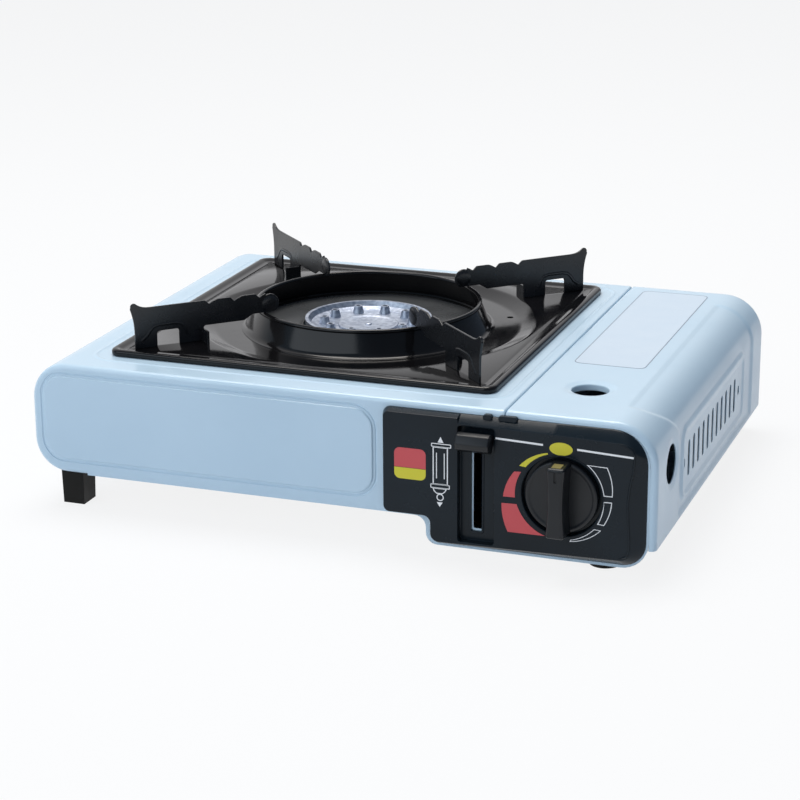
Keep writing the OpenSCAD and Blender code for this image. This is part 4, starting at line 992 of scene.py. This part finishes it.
top_case()
gas_lid()
drip_tray()
control_panel()
prints()
knob()
lever_knob()
wind_ring()
burner_cap()
hole_flange()
pan_supports()
label_plate()
for name in ("foot_front_left", "foot_rear_left"):
    soften(name)


# ---- floor, world and lamps ----
WHITE = (1, 1, 1, 1)


def any_ray(tree, first, *others):
    """1 for rays of any of these kinds, and 0 for the rest."""
    rays = tree.nodes.new("ShaderNodeLightPath")
    out = rays.outputs[first]
    for name in others:
        node = tree.nodes.new("ShaderNodeMath")
        node.operation = "MAXIMUM"
        tree.links.new(out, node.inputs[0])
        tree.links.new(rays.outputs[name], node.inputs[1])
        out = node.outputs[0]
    return out


def make_world():
    """White for the camera, soft light all round, and for reflections light at the back and dim in
    front and on the right."""
    world = bpy.data.worlds.new("studio")
    bpy.context.scene.world = world
    world.use_nodes = True
    tree = world.node_tree
    way = tree.nodes.new("ShaderNodeSeparateXYZ")
    tree.links.new(tree.nodes.new("ShaderNodeTexCoord").outputs["Generated"], way.inputs[0])

    def blend(factor, first, second):
        node = tree.nodes.new("ShaderNodeMixRGB")
        tree.links.new(factor, node.inputs["Fac"])
        for socket, value in (("Color1", first), ("Color2", second)):
            if isinstance(value, tuple):
                node.inputs[socket].default_value = value
            else:
                tree.links.new(value, node.inputs[socket])
        return node.outputs["Color"]

    def ramp(value, low, high):
        node = tree.nodes.new("ShaderNodeMapRange")
        node.inputs["From Min"].default_value = low
        node.inputs["From Max"].default_value = high
        tree.links.new(value, node.inputs["Value"])
        return node.outputs["Result"]

    around = blend(ramp(way.outputs["X"], -1, 1), (0.66, 0.67, 0.69, 1), (0.08, 0.12, 0.18, 1))
    mirrored = blend(ramp(way.outputs["Y"], -0.2, 0.3), (0.2, 0.3, 0.4, 1), (0.9, 0.9, 0.92, 1))
    mirrored = blend(ramp(way.outputs["X"], 0, 0.35), mirrored, (0.12, 0.16, 0.22, 1))
    light = blend(any_ray(tree, "Is Glossy Ray", "Is Transmission Ray"), around, mirrored)
    tree.links.new(blend(any_ray(tree, "Is Camera Ray"), light, WHITE),
                   tree.nodes["Background"].inputs["Color"])


def make_floor():
    """A pale matt floor that glows white for the camera and in reflections."""
    half = 4
    mesh = bpy.data.meshes.new("floor")
    mesh.from_pydata([(-half, -half, 0), (half, -half, 0), (half, half, 0), (-half, half, 0)], [],
                     [(0, 1, 2, 3)])
    floor = add("floor", mesh)
    mat = bpy.data.materials.new("floor")
    mat.use_nodes = True
    tree = mat.node_tree
    paint = tree.nodes["Principled BSDF"]
    paint.inputs["Base Color"].default_value = (0.74, 0.78, 0.83, 1)
    paint.inputs["Roughness"].default_value = 0.9
    glow = tree.nodes.new("ShaderNodeEmission")
    glow.inputs["Color"].default_value = WHITE
    part = tree.nodes.new("ShaderNodeMath")
    part.operation = "MULTIPLY"
    part.inputs[1].default_value = 0.84
    tree.links.new(any_ray(tree, "Is Camera Ray", "Is Glossy Ray", "Is Transmission Ray"),
                   part.inputs[0])
    mix = tree.nodes.new("ShaderNodeMixShader")
    tree.links.new(part.outputs[0], mix.inputs["Fac"])
    tree.links.new(paint.outputs["BSDF"], mix.inputs[1])
    tree.links.new(glow.outputs["Emission"], mix.inputs[2])
    tree.links.new(mix.outputs["Shader"], tree.nodes["Material Output"].inputs["Surface"])
    mesh.materials.append(mat)


def lamp(name, place, target, size, power, color):
    """A rectangular lamp in the shared frame, in metres, that points at its target."""
    light = bpy.data.lights.new(name, "AREA")
    light.shape = "RECTANGLE"
    light.size, light.size_y = size
    light.energy = power
    light.color = color
    obj = add(name, light)
    obj.location = place
    obj.rotation_euler = (Vector(target) - Vector(place)).to_track_quat("-Z", "Y").to_euler()


make_world()
make_floor()
lamp("top_box", (-0.2, 0.2, 1.5), (0, 0, 0.05), (1.0, 0.7), 18.3, (1, 0.95, 0.89))
lamp("front_box", (-0.8, -1.5, 0.9), (0, 0, 0.04), (2.2, 1.1), 11, (0.9, 0.95, 1))
bpy.context.scene.view_settings.view_transform = "Standard"
